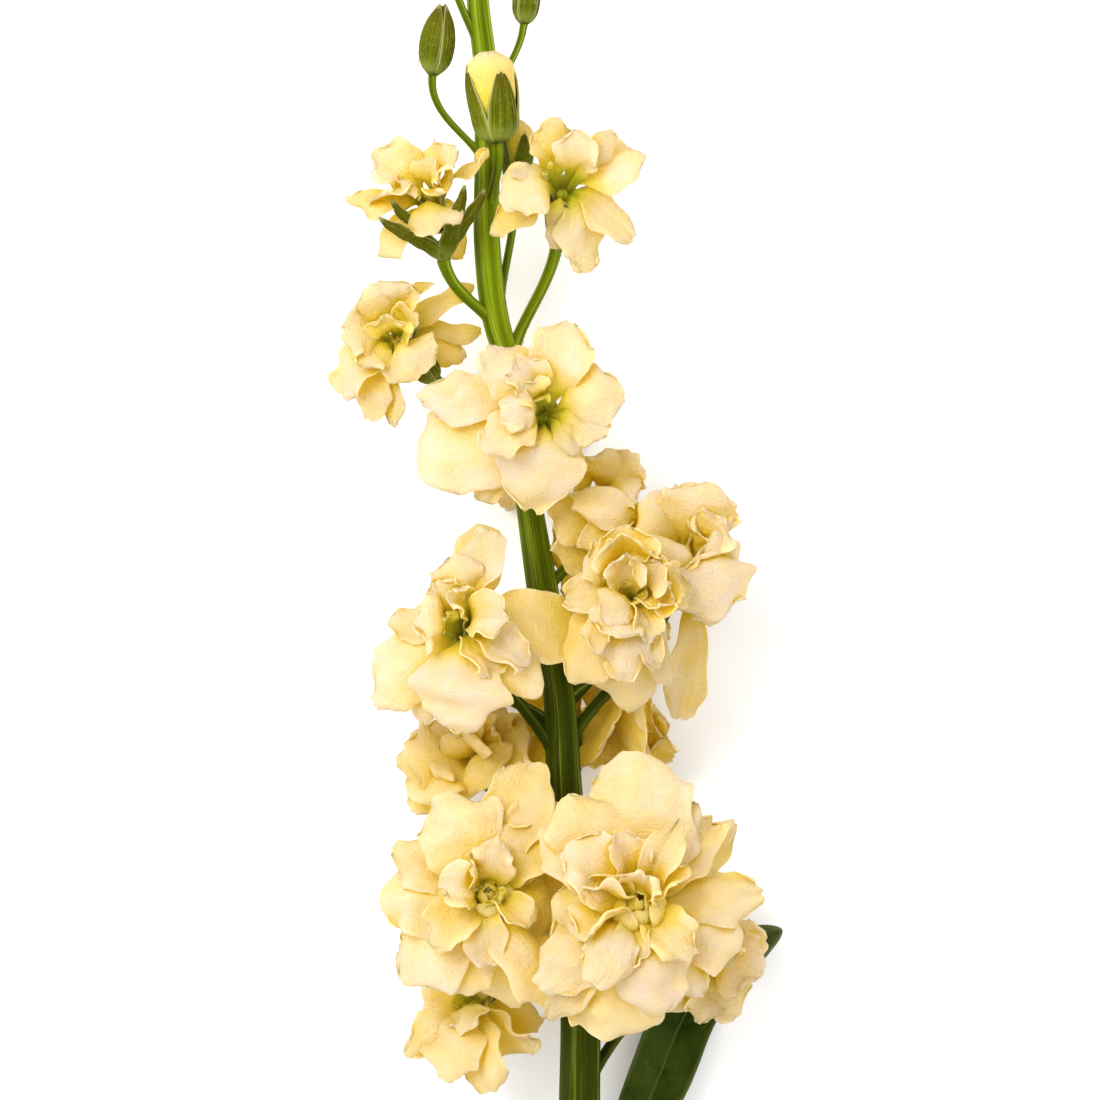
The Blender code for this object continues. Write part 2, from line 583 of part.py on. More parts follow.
def turned_shape(base, tip, profile, sides, lobes=0, lobe_share=0.0):
    """A closed round shape along base to tip. The profile gives (share of length, radius) of its rings."""
    base, tip = np.asarray(base, float), np.asarray(tip, float)
    direction = unit(tip - base)
    across = unit(np.cross(direction, (0.3, 0.2, 0.9)))
    beside = np.cross(direction, across)
    angles = np.arange(sides) * 2 * math.pi / sides
    bulge = 1.0 + lobe_share * np.cos(lobes * angles)
    round_about = np.cos(angles)[:, None] * across + np.sin(angles)[:, None] * beside
    rings = [base + (tip - base) * share + radius * bulge[:, None] * round_about for share, radius in profile]
    return np.vstack(rings + [[base, tip]]), ring_faces(len(profile), sides)


# Petals


def half_width(u, claw, width):
    """Share of a petal's half width at u, from its root to its tip."""
    start = 0.5 * claw
    narrow = CLAW_WIDTH / width
    rise = np.clip((u - start) / (max(PEAK, claw + 0.15) - start), 0.0, 1.0)
    limb = narrow + (1.0 - narrow) * np.sin(rise * math.pi / 2) ** LIMB_POWER
    past = np.clip((u - PEAK) / (1.0 - PEAK), 0.0, 1.0)
    return limb * np.sqrt(1.0 - (1.0 - TIP_SHARE**2) * past**2.4)


def petal_sheet(bloom, leaf, stack, seed, u, v):
    """The middle surface of a petal on a grid of u, root to tip, and v, edge to edge.

    The stack is how far it lies over or under its neighbours.
    """
    draw = np.random.default_rng(seed)
    waves, phases, sway = draw.uniform(1.1, 2.3, 2), draw.uniform(0.0, 1.0, 4), draw.uniform(-1.0, 1.0, 3)
    heart, base = np.array(bloom.heart, float), np.array(bloom.base, float)
    axis = unit(heart - base)
    out = leaf.tip - axis * (axis @ leaf.tip)
    out /= max(np.linalg.norm(out), 1.0)
    layer = np.clip(axis @ leaf.tip / np.linalg.norm(leaf.tip), -1.0, 1.0)
    root = heart + out * ROOT_REACH + axis * (ROOT_LAYERS * layer + ROOT_START)
    tip = heart + leaf.tip
    length = np.linalg.norm(tip - root)
    along = (tip - root) / length
    face = unit(bloom.face) + 0.3 * axis
    face = turned(unit(face - along * (face @ along)), along, leaf.roll + 8.0 * sway[0])
    side = np.cross(along, face)
    crest = tip - along * 0.38 * length + face * leaf.crest
    bend = root + (axis + (0.5 + 0.7 * max(-layer, 0.0)) * out) * leaf.rise
    spine = bezier(root, bend, crest, tip, u)
    run = np.gradient(bezier(root, bend, crest, tip, np.linspace(0, 1, 41)), axis=0)
    run = np.stack([np.interp(u, np.linspace(0, 1, 41), run[:, i]) for i in range(3)], axis=1)
    run /= np.linalg.norm(run, axis=1, keepdims=True)
    up = np.cross(side, run)
    up /= np.linalg.norm(up, axis=1, keepdims=True)
    share = half_width(u, leaf.claw, leaf.width)
    edge = np.where(v < 0, waves[0], waves[1])
    phase = np.where(v < 0, phases[0], phases[1])
    uneven = 1.0 + 0.10 * np.sin(2 * math.pi * (edge * u[:, None] * 1.3 + phase + 0.3))
    across = share[:, None] * uneven * v * leaf.width / 2
    ripple = EDGE_WAVE * v**2 * np.sin(2 * math.pi * (edge * u[:, None] + phase)) * smoothstep(2.2 * u)[:, None]
    lift = leaf.cup * np.abs(v) ** 1.6 * share[:, None] + ripple * min(1.0, leaf.width / 7.0)
    drawn_back = 0.55 * v**2 * np.abs(across) * smoothstep((u - 0.8) / 0.2)[:, None]
    sheet = spine[:, None] + side * across[..., None] + up[:, None] * lift[..., None]
    sheet = sheet - run[:, None] * drawn_back[..., None]
    return sheet + face * (stack * smoothstep(2.0 * u))[:, None, None]


def ruffle_petals(bloom, seed):
    """The small petals crowded round a bloom's heart, fanned by the golden angle."""
    draw = np.random.default_rng(seed)
    facing = unit(unit(bloom.face) + unit(np.subtract(bloom.heart, bloom.base)))
    across = unit(np.cross(facing, (0.2, 0.9, 0.1)))
    beside = np.cross(facing, across)
    found = []
    for i in range(bloom.ruffles):
        angle = GOLDEN_ANGLE * i + draw.uniform(-0.3, 0.3)
        reach = 2.0 + 0.55 * i + draw.uniform(-0.4, 0.4)
        height = 5.2 - 0.35 * i
        tip = facing * height + (across * math.cos(angle) + beside * math.sin(angle)) * reach
        found.append(petal(*tip, 3.4 + 0.2 * i, rise=2.0, crest=-0.6, cup=0.9))
    return found


# Where the blooms part from each other, from the stem and from the surface


def parting_plane(one, other):
    """The plane that best parts two clouds of points, as (unit normal from one to the other, distance)."""
    points = np.vstack([one, other])
    middle = points.mean(axis=0)
    spread = 6.0
    x = np.hstack([(points - middle) / spread, np.ones((len(points), 1))])
    label = np.concatenate([np.zeros(len(one)), np.ones(len(other))])
    share = np.concatenate([np.full(len(one), 0.5 / len(one)), np.full(len(other), 0.5 / len(other))])
    weights = np.zeros(4)
    for _ in range(30):
        chance = 1.0 / (1.0 + np.exp(-np.clip(x @ weights, -30, 30)))
        slope = x.T @ (share * (chance - label)) + 0.002 * weights
        bend = (x * (share * chance * (1 - chance))[:, None]).T @ x + 0.002 * np.eye(4)
        weights = weights - np.linalg.solve(bend, slope)
    normal = weights[:3] / spread
    distance = normal @ middle - weights[3]
    size = np.linalg.norm(normal)
    return normal / size, distance / size


def pressed(points, planes, stem_side):
    """The points bent clear of the planes, of the stem and of the surface."""
    flat = points.reshape(-1, 3).copy()
    for _ in range(PRESS_ROUNDS):
        for normal, distance in planes:
            inside = distance - flat @ normal
            limit = PLANE_MARGIN + PLANE_SOFTNESS
            soft = PLANE_MARGIN + PLANE_SOFTNESS * np.exp((np.minimum(inside, limit) - limit) / PLANE_SOFTNESS)
            flat -= np.where(inside < limit, soft - inside, 0.0)[:, None] * normal
        flat = draped(flat, stem_side)
    flat[:, 2] = np.maximum(flat[:, 2], FLOOR_REST)
    return flat.reshape(points.shape)


def draped(points, out):
    """The points lifted over the main stem on the side that out gives."""
    stem = stem_at(points[:, 1])
    reach = stem[:, 3] + PETAL_THICK / 2 + GAP
    from_stem = points - stem[:, :3]
    from_stem[:, 1] = 0.0
    beside = np.array([out[2], 0.0, -out[0]])
    level, aside = from_stem @ out, from_stem @ beside
    over = np.sqrt(np.maximum(reach**2 - aside**2, 0.0))
    near = (np.abs(aside) < reach) & (level > -0.3 * reach) & (level < over)
    return points + np.where(near, over - level, 0.0)[:, None] * out


def stem_side(bloom):
    """The direction, across the stem, in which a bloom lies."""
    stem = stem_at(bloom.heart[1])[0]
    out = np.array([bloom.heart[0] - stem[0], 0.0, bloom.heart[2] - stem[2]])
    return unit(out)


def stacks(bloom):
    """How far each petal of a bloom lies over or under its neighbours, so that they pass each other."""
    axis = unit(np.subtract(bloom.heart, bloom.base))
    facing = unit(unit(bloom.face) + axis)
    across = unit(np.cross(axis, (0.3, 0.2, 0.9)))
    beside = np.cross(axis, across)
    tips = np.array([leaf.tip for leaf in bloom.petals])
    bearings = np.arctan2(tips @ beside, tips @ across)
    heights = tips @ facing / np.linalg.norm(tips, axis=1)
    over = []
    for bearing, height in zip(bearings, heights):
        apart = np.abs((bearings - bearing + math.pi) % (2 * math.pi) - math.pi)
        near = [j for j in np.argsort(apart)[1:4] if apart[j] < NEIGHBOUR_ANGLE]
        over.append(STACK_STEP * np.sign(height - heights[near]).sum() / max(len(near), 1))
    return over


def all_petals(number, bloom):
    """(petal, its stack, its seed, its rows) of every petal of a bloom."""
    over = stacks(bloom)
    placed = []
    for i, leaf in enumerate(bloom.petals):
        large = np.linalg.norm(leaf.tip) > SMALL_PETAL and bloom.face is not BACK
        placed.append((leaf, over[i], (7, number, i), PETAL_ROWS if large else SMALL_ROWS))
    crowded = ruffle_petals(bloom, (5, number))
    return placed + [(p, 0.0, (9, number, i), SMALL_ROWS) for i, p in enumerate(crowded)]


def free_points(number, bloom):
    """The middle surfaces of a bloom's petals and calyx before they are bent clear, as one cloud."""
    held = [row for row in all_petals(number, bloom) if not row[0].free]
    sheets = [petal_sheet(bloom, p, stack, seed, rows, ACROSS) for p, stack, seed, rows in held]
    return np.vstack([sheet.reshape(-1, 3) for sheet in sheets] + [calyx_shape(bloom)[0]])


def parting_planes(clouds):
    """For each cloud, the planes that part it from each cloud that comes near it."""
    planes = {name: [] for name in clouds}
    names = sorted(clouds)
    for i, one in enumerate(names):
        for other in names[i + 1 :]:
            a, b = clouds[one], clouds[other]
            gap = np.maximum(b.min(0) - a.max(0), a.min(0) - b.max(0)).max()
            if gap > 2.0:
                continue
            normal, distance = parting_plane(a, b)
            planes[one].append((normal, distance))
            planes[other].append((-normal, -distance))
    return planes


# Cups


def cup_shape(base, tip, width, cup, swell=0.0):
    """A closed lobed cup from base towards tip. A swell makes its wall thicker all round."""
    base, tip = np.array(base, float), np.array(tip, float)
    axis = unit(tip - base)
    across = unit(np.cross(axis, (0.3, 0.2, 0.9)))
    beside = np.cross(axis, across)
    start = base + axis * (GAP + FOOT_PLAY)
    sides = 2 * SEPALS
    rings = len(cup.middles)
    growth = [(-swell, 0.5 * swell)] + [(0.0, swell)] * (rings - 3) + [(swell, swell), (swell, -swell)]
    points = []
    for middle, edge, (further, wider) in zip(cup.middles, cup.edges, growth):
        for i in range(sides):
            share, radius = middle if i % 2 == 0 else edge
            angle = 2 * math.pi * i / sides
            out = across * math.cos(angle) + beside * math.sin(angle)
            points.append(start + (tip - base) * share + axis * further + out * (radius * width + wider))
    points += [start - axis * swell, start + (tip - base) * cup.floor + axis * swell]
    return np.array(points), ring_faces(rings, sides)


def calyx_shape(bloom, swell=0.0):
    return cup_shape(bloom.base, bloom.heart, CALYX_WIDTH, CALYX_CUP, swell)


# Objects


def material(name, colour, roughness):
    made = bpy.data.materials.new(name)
    made.use_nodes = True
    shader = made.node_tree.nodes["Principled BSDF"]
    shader.inputs["Base Color"].default_value = (*colour, 1.0)
    shader.inputs["Roughness"].default_value = roughness
    shader.inputs["Metallic"].default_value = 0.0
    return made


def mesh_object(name, points, faces, collection=None):
    """A mesh object from points in millimetres and triangles."""
    mesh = bpy.data.meshes.new(name)
    mesh.from_pydata(((points - MIDDLE) * METRES_PER_MM).tolist(), [], faces.tolist())
    mesh.validate()
    obj = bpy.data.objects.new(name, mesh)
    (collection or bpy.context.scene.collection).objects.link(obj)
    return obj


def settle(obj):
    """Turns an object's modifiers into its mesh."""
    bpy.context.view_layer.update()
    graph = bpy.context.evaluated_depsgraph_get()
    mesh = bpy.data.meshes.new_from_object(obj.evaluated_get(graph))
    obj.modifiers.clear()
    obj.data = mesh


def boolean(obj, operation, other=None, collection=None):
    modifier = obj.modifiers.new(operation.title(), "BOOLEAN")
    modifier.operation = operation
    modifier.solver = "MANIFOLD"
    if collection:
        modifier.operand_type = "COLLECTION"
        modifier.collection = collection
    else:
        modifier.object = other
    settle(obj)


def fused(name, shapes):
    """One object that is the union of the shapes."""
    if len(shapes) == 1:
        return mesh_object(name, *shapes[0])
    group = bpy.data.collections.new(name + "_shapes")
    bpy.context.scene.collection.children.link(group)
    for i, (points, faces) in enumerate(shapes[1:]):
        mesh_object(f"{name}_shape_{i}", points, faces, group)
    obj = mesh_object(name, *shapes[0])
    boolean(obj, "UNION", collection=group)
    for shape in list(group.objects):
        bpy.data.objects.remove(shape)
    bpy.data.collections.remove(group)
    return obj


def keep_largest(obj):
    """Leaves only the body with the largest volume, so no scrap and no sealed hollow stays."""
    mesh = obj.data
    faces = [p.vertices[:] for p in mesh.polygons]
    parent = np.arange(len(mesh.vertices))

    def top(i):
        while parent[i] != i:
            parent[i] = parent[parent[i]]
            i = parent[i]
        return i

    for corners in faces:
        for other in corners[1:]:
            parent[top(other)] = top(corners[0])
    points = np.array([v.co for v in mesh.vertices])
    volume = {}
    for corners in faces:
        body = top(corners[0])
        for b, c in zip(corners[1:-1], corners[2:]):
            volume[body] = volume.get(body, 0.0) + np.dot(points[corners[0]], np.cross(points[b], points[c]))
    largest = max(volume, key=volume.get)
    kept = [c for c in faces if top(c[0]) == largest]
    used = sorted({i for corners in kept for i in corners})
    index = {old: new for new, old in enumerate(used)}
    mesh_kept = bpy.data.meshes.new(obj.name)
    mesh_kept.from_pydata(points[used].tolist(), [], [[index[i] for i in corners] for corners in kept])
    obj.data = mesh_kept


def finish(obj, name, colour, roughness):
    obj.data.materials.clear()
    obj.data.materials.append(material(name, colour, roughness))
    obj.data.shade_smooth()
    obj.data.set_sharp_from_angle(angle=math.radians(50))


def helper(obj):
    """A cutter, which isn't part of the stem."""
    obj.hide_render = True
    obj.display_type = "WIRE"
    return obj


def remove(obj):
    bpy.data.objects.remove(obj)


# Pieces


def stalk_line(joint, base, axis, sway=0.42):
    """The middle line of a flower stalk, from inside the stem to the calyx."""
    start = stem_at(joint)[0]
    base = np.array(base, float)
    reach = np.linalg.norm(base - start[:3])
    direction = unit(stem_at(joint + 4.0)[0][:3] - start[:3])
    return bezier(start[:3], start[:3] + direction * reach * 0.3, base - axis * reach * sway, base,
                  np.linspace(0.0, 1.0, STALK_STATIONS))


def stem_shapes(swell=0.0):
    """The main stem and every flower stalk, as closed tubes."""
    line = smooth_line(STEM_LINE, np.linspace(0.0, 1.0, STEM_STATIONS))
    shapes = [tube(line[:, :3], line[:, 3] + swell, STEM_SIDES, STEM_RIDGES, CUT_SLANT)]
    stalks = [(b.joint, b.base, unit(np.subtract(b.heart, b.base)), BLOOM_STALK) for b in BLOOMS]
    stalks += [(b.joint, b.base, unit(np.subtract(b.tip, b.base)), b.stalk) for b in BUDS]
    for joint, base, axis, radius in stalks:
        middle = stalk_line(joint, np.array(base) + axis * swell, axis)
        radii = radius * np.linspace(STALK_FLARE, 1.0, STALK_STATIONS) + swell
        shapes.append(tube(middle, radii, STALK_SIDES, end=axis))
    return shapes


def make_stem(floor):
    stem = fused("stem", stem_shapes())
    boolean(stem, "DIFFERENCE", floor)
    keep_largest(stem)
    finish(stem, "stem_green", STEM_COLOUR, 0.55)


def make_calyx(number, bloom):
    calyx = mesh_object(f"calyx_{number:02d}", *calyx_shape(bloom))
    finish(calyx, "sepal_green", SEPAL_COLOUR, 0.7)


def make_bloom(number, bloom, planes, stem_cutter, floor):
    side = stem_side(bloom)
    heart, base = np.array(bloom.heart, float), np.array(bloom.base, float)
    axis = unit(heart - base)
    start = base + (heart - base) * CALYX_CUP.floor + axis * 3 * GAP
    shapes = [turned_shape(start, heart + axis * CORE_TOP, CORE, CORE_SIDES)]
    for leaf, stack, seed, rows in all_petals(number, bloom):
        sheet = petal_sheet(bloom, leaf, stack, seed, rows, ACROSS)
        shapes.append(blade(pressed(sheet, [] if leaf.free else planes, side), PETAL_THICK))
    obj = fused(bloom.name, shapes)
    calyx_cutter = helper(mesh_object("calyx_cutter", *calyx_shape(bloom, GAP)))
    for cutter in (stem_cutter, calyx_cutter, floor):
        boolean(obj, "DIFFERENCE", cutter)
    remove(calyx_cutter)
    keep_largest(obj)
    finish(obj, "petal_cream", PETAL_COLOUR, 0.6)


def make_bud(bud):
    """A closed bud, or an opening one, which is a cup of sepals round the pale tips of its petals."""
    base, tip = np.array(bud.base, float), np.array(bud.tip, float)
    axis = unit(tip - base)
    if bud.name in OPENING_BUDS:
        shape = cup_shape(base, tip, bud.width, BUD_CUP)
        inside = base + (tip - base) * BUD_CUP.floor + axis * 5 * GAP
        dome = mesh_object(bud.name + "_petals", *turned_shape(inside, tip, DOME_RINGS * (1.0, bud.width), BUD_SIDES))
        finish(dome, "petal_cream", PETAL_COLOUR, 0.6)
    else:
        foot = base + axis * (GAP + FOOT_PLAY)
        shape = turned_shape(foot, tip, BUD_RINGS * (1.0, bud.width), BUD_SIDES, BUD_LOBES, LOBE_SHARE)
    obj = mesh_object(bud.name, *shape)
    finish(obj, "bud_green", BUD_COLOUR, 0.7)


def make_tip_buds():
    """The crowded small buds at the end of the stem."""
    end, below = STEM_LINE[-1][:3], STEM_LINE[-2][:3]
    axis = unit(end - below)
    across = unit(np.cross(axis, (0.0, 0.0, 1.0)))
    beside = np.cross(axis, across)
    start = end + axis * GAP
    shapes = [turned_shape(start, start + axis * TIP_BODY_LENGTH, TIP_BODY, BUD_SIDES)]
    lowest, highest = TIP_ROOTS
    for i in range(TIP_BUDS):
        share = i / (TIP_BUDS - 1)
        angle = GOLDEN_ANGLE * i
        out = across * math.cos(angle) + beside * math.sin(angle)
        direction = unit(axis + out * (1.0 - TIP_LEAN * share))
        root = start + axis * (lowest + (highest - lowest) * share) + out * TIP_ROOT_OUT
        size = 1.0 - TIP_SHRINK * share
        length = TIP_BUD_LENGTH * size
        width = TIP_BUD_WIDTH * size
        shapes.append(turned_shape(root, root + direction * length, TIP_BUD_RINGS * (1.0, width), TIP_BUD_SIDES))
    obj = fused("tip_buds", shapes)
    keep_largest(obj)
    finish(obj, "tip_green", BUD_COLOUR, 0.7)


def leaf_sheet(leaf, number):
    draw = np.random.default_rng((3, number))
    phases = draw.uniform(0.0, 1.0, 2)
    u, v = LEAF_ROWS, ACROSS
    spine = smooth_line(leaf.line, u)
    run = np.gradient(spine, axis=0)
    run /= np.linalg.norm(run, axis=1, keepdims=True)
    side = np.cross(run, unit(leaf.up))
    side /= np.linalg.norm(side, axis=1, keepdims=True)
    up = np.cross(side, run)
    share = np.maximum(np.sin(math.pi * np.clip(0.06 + 0.94 * u, 0, 1) ** 1.15), 0.0) ** 0.6
    share = np.maximum(share, LEAF_NARROWEST)
    phase = np.where(v < 0, phases[0], phases[1])
    wave = LEAF_WAVE * v**2 * np.sin(2 * math.pi * (LEAF_WAVES * u[:, None] + phase))
    lift = (LEAF_FOLD * np.abs(v) + wave) * share[:, None]
    sheet = spine[:, None] + side[:, None] * (share[:, None] * v * leaf.width / 2)[..., None]
    sheet = sheet + up[:, None] * lift[..., None]
    sheet[..., 2] = np.maximum(sheet[..., 2], FLOOR_REST)
    return sheet


def make_leaf(leaf, number, stem_cutter, floor):
    obj = mesh_object(leaf.name, *blade(leaf_sheet(leaf, number), LEAF_THICK))
    boolean(obj, "DIFFERENCE", stem_cutter)
    boolean(obj, "DIFFERENCE", floor)
    keep_largest(obj)
    finish(obj, "leaf_green", LEAF_COLOUR, 0.5)


def main():
    for obj in list(bpy.data.objects):
        remove(obj)
    below = turned_shape(MIDDLE - (0.0, 0.0, FLOOR_DEPTH), MIDDLE, [(0.0, FLOOR_REACH), (1.0, FLOOR_REACH)], 4)
    floor = helper(mesh_object("floor_cutter", *below))
    stem_cutter = helper(fused("stem_cutter", stem_shapes(GAP)))
    clouds = {bloom.name: free_points(i, bloom) for i, bloom in enumerate(BLOOMS, 1)}
    planes = parting_planes(clouds)
    make_stem(floor)
    for number, bloom in enumerate(BLOOMS, 1):
        make_calyx(number, bloom)
        make_bloom(number, bloom, planes[bloom.name], stem_cutter, floor)
    for bud in BUDS:
        make_bud(bud)
    make_tip_buds()
    for number, leaf in enumerate(LEAVES, 1):
        make_leaf(leaf, number, stem_cutter, floor)
    remove(stem_cutter)
    remove(floor)


main()
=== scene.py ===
"""The looks of a cut stem of double stock, lying on its side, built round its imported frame.

Shapes are worked out in millimetres, X and Y from the middle of the flowering stretch and Z from the
surface. The meshes are in metres, with the origin under the middle of the whole stem. The tables of blooms,
buds and leaves are the ones that the frame was built from, and every piece keeps the form of the node it
stands for.
"""

import json
import math
from collections import namedtuple

import bpy
import mathutils
import numpy as np
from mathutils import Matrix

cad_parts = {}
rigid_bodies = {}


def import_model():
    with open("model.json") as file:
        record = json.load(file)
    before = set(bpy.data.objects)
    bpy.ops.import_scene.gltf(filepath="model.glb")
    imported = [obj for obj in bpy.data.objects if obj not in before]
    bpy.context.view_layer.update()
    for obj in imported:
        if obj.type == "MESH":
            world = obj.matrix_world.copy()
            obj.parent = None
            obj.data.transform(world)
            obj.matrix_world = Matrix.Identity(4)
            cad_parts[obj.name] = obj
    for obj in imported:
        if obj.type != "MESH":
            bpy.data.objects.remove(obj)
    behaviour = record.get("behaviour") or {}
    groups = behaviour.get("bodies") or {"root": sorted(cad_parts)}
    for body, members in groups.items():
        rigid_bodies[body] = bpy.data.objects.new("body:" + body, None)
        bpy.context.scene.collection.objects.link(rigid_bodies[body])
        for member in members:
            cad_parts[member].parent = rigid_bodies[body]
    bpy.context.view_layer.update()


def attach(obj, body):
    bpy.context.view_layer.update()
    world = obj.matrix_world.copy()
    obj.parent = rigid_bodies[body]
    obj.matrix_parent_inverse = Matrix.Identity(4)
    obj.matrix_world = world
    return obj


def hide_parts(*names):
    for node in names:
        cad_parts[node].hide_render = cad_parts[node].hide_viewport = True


# Units, the place of the origin, the way up, and a direction in which no calyx, bud or stem lies
METRES_PER_MM = 0.001
MIDDLE = np.array([1.5, -36.5, 0.0])
UP = np.array([0.0, 0.0, 1.0])
GUIDE = np.array([0.3, 0.2, 0.9])

# The picture: how wide a stretch it shows, the camera's height, the height at which that width is
# right, and the light. All in metres, apart from the sensor in millimetres
PICTURE_WIDTH = 0.165
CAMERA_HEIGHT = 1.0
FOCUS_HEIGHT = 0.034
SENSOR = 36.0
WORLD_STRENGTH = 1.36
KEY_PLACE = (-0.5, 0.45, 1.0)
KEY_AIM = (0.0, 0.03, 0.02)
KEY_SIZE = 0.6
KEY_POWER = 11.6
FLOOR_REACH = 3.0

# The frame's clearances, and the thickness that its petals were given
PETAL_THICK = 0.8
GAP = 0.35
FLOOR_REST = 0.15

# The main stem: X, Y, Z of its middle line and its radius, from the cut end to the tip
STEM_LINE = np.array(
    [
        (1.5, -195.0, 3.6, 3.8),
        (2.5, -157.5, 5.4, 3.6),
        (3.6, -127.5, 9.0, 3.4),
        (4.5, -97.5, 13.6, 3.2),
        (4.7, -82.5, 16.0, 3.1),
        (4.8, -72.3, 17.5, 3.0),
        (3.8, -52.5, 19.8, 2.8),
        (2.3, -36.0, 21.0, 2.7),
        (1.5, -22.0, 21.8, 2.4),
        (-0.8, -7.2, 22.0, 2.4),
        (-3.0, 6.6, 22.0, 2.0),
        (-5.4, 26.1, 21.3, 1.8),
        (-8.0, 34.5, 20.9, 2.0),
        (-9.4, 45.6, 20.3, 2.0),
        (-9.5, 60.0, 19.3, 1.9),
        (-9.8, 74.0, 18.2, 1.8),
        (-10.8, 82.5, 17.5, 1.7),
        (-11.4, 100.5, 15.5, 1.2),
        (-12.0, 114.0, 14.4, 0.9),
    ]
)
STEM_SIDES = 60
STEM_STATIONS = 220
STEM_RIDGES = 5
RIDGE_SHARE = 0.06
FINE_RIDGES = 17
FINE_RIDGE_SHARE = 0.012
CUT_SLANT = 0.55
CUT_RINGS = (0.94, 0.8, 0.5, 0.2)
STEM_REST = 0.02

# Flower stalks: how they flare into the stem and into a calyx, how far they first follow the stem, and how
# far they follow the flower's axis at their end
STALK_SIDES = 18
STALK_STATIONS = 40
STALK_FLARE = 1.5
FLARE_SHARE = 0.22
TOP_FLARE = 0.25
TOP_FLARE_POWER = 8
STALK_AHEAD = 4.0
STALK_RISE = 0.3
STALK_SWAY = 0.42
STALK_INTO_CALYX = 1.5
STALK_PAINT_STEP = 40.0
STALK_RIDGES = 3
STALK_RIDGE_SHARE = 0.05
BLOOM_STALK = 0.85

# Petals: how a petal widens from its claw to its peak and narrows to its tip, how much wider than it looks
# from the front it is, because it curves, how it bends from its root to its tip, how its edges wave, and how
# its corners are drawn back. Its root stands clear of the bloom's middle, and petals that are neighbours lie
# over or under each other
PEAK = 0.62
CLAW_WIDTH = 0.9
TIP_SHARE = 0.42
LIMB_POWER = 1.3
FULLNESS = 1.12
CLAW_START = 0.5
LIMB_LEAST = 0.15
TIP_POWER = 2.4
CUP_POWER = 1.6
FACE_LEAN = 0.3
SWAY = 8.0
CREST_SHARE = 0.38
BEND_OUT = (0.5, 0.7)
EDGE_WAVE = 0.75
EDGE_WAVES = (1.1, 2.3)
WAVE_START = 2.2
WAVY_WIDTH = 7.0
UNEVEN = 0.10
UNEVEN_WAVES = 1.3
UNEVEN_PHASE = 0.3
CORNERS_BACK = 0.55
CORNER_START = 0.8
CORNER_REACH = 0.2
FRAME_ROWS = np.array([0.0, 0.36, 0.62, 0.84, 1.0])
FRAME_SMALL_ROWS = np.array([0.0, 0.42, 0.8, 1.0])
FRAME_ACROSS = np.array([-1.0, 0.0, 1.0])
SMALL_PETAL = 10.0
ROOT_REACH = 2.2
ROOT_LAYERS = 1.3
ROOT_START = 0.5
STACK_STEP = 1.4
STACK_START = 2.0
NEIGHBOUR_ANGLE = 0.9
GOLDEN_ANGLE = math.radians(137.5)

# The small petals round a bloom's heart: how far the first one reaches and how high, how wide it is,
# what each next one adds or loses, and how far they stray
HEART_GUIDE = (0.2, 0.9, 0.1)
HEART_SPREAD = 2.0
HEART_SPREAD_STEP = 0.55
HEART_SPREAD_PLAY = 0.4
HEART_ANGLE_PLAY = 0.3
HEART_HEIGHT = 5.2
HEART_HEIGHT_STEP = 0.35
HEART_WIDTH = 3.4
HEART_WIDTH_STEP = 0.2

# A petal's blade and its channelled claw, which runs down into the calyx close to the middle, how pointed
# tips are, and how many rows and columns of points a blade has
BLADE_THICK = 0.22
HEART_REACH = 1.1
BROAD_CLAW = 1.9
CHANNEL = 0.7
CHANNEL_REACH = 0.5
BLUNTEST_TIP = 0.55
SHARPEST_TIP = 0.16
CLAW_SHARE = 0.25
CLAW_DEPTH = 3.6
CLAW_SPREAD = 0.5
SPINE_STEPS = 51
LIMB_STEP_POWER = 1.4
LIMB_ROWS = 32
CLAW_ROWS = 5
LIMB_COLUMNS = 17
SMALL_YOUTH = 0.8
SMALL_LIMB_ROWS = 20
SMALL_LIMB_COLUMNS = 13

# How a petal is pleated, ruffled, curled, crumpled and torn, in millimetres on a petal of the usual width. A
# broad petal is calmer, and nothing moves near the root. Pairs are the frequencies or sizes drawn between
USUAL_WIDTH = 8.0
CALM_WIDTHS = (7.5, 12.0)
CALMEST = 0.5
WILDEST = 1.35
CRUMPLE_START = 0.12
CRUMPLE_REACH = 0.5
PLEAT = 0.28
PLEATS = (2, 5)
RUFFLE = 0.42
RUFFLES = (2, 5)
RUFFLE_POWER = 3
TIP_RUFFLE = 0.4
TIP_RUFFLES = (1, 4)
TIP_RUFFLE_POWER = 6
CURL = 0.5
CURLS = (-0.7, 1.0)
CURL_START = 0.5
TIP_CURL = 0.8
TIP_CURLS = (-1.0, 0.8)
TIP_CURL_START = 0.62
CRUMPLE = 0.15
CRUMPLE_WAVES = 9
CRUMPLE_LENGTHS = (3.0, 9.0)
RAGGED_EDGE = 0.09
RAGGED_WAVES = (4, 9)
RAGGED_POWER = 5
RAGGED_TIP = 0.16
TORN_WAVES = (3, 8)
TORN_POWER = 8
NOTCH = 0.6
NOTCH_WIDTH = 0.22

# The planes that part the blooms: how closely they are worked out, how near two blooms lie that need one,
# how close a petal comes to one and how softly it bends there, and how far round the stem a petal is draped
CLOUD_SPREAD = 6.0
PLANE_ROUNDS = 30
PLANE_DAMPING = 0.002
SUREST = 30
CLOUD_GAP = 2.0
DRAPE_DEPTH = 0.3
PLANE_MARGIN = 0.65
PLANE_SOFTNESS = 1.6
PRESS_ROUNDS = 4
LEAST_FIT = 0.82

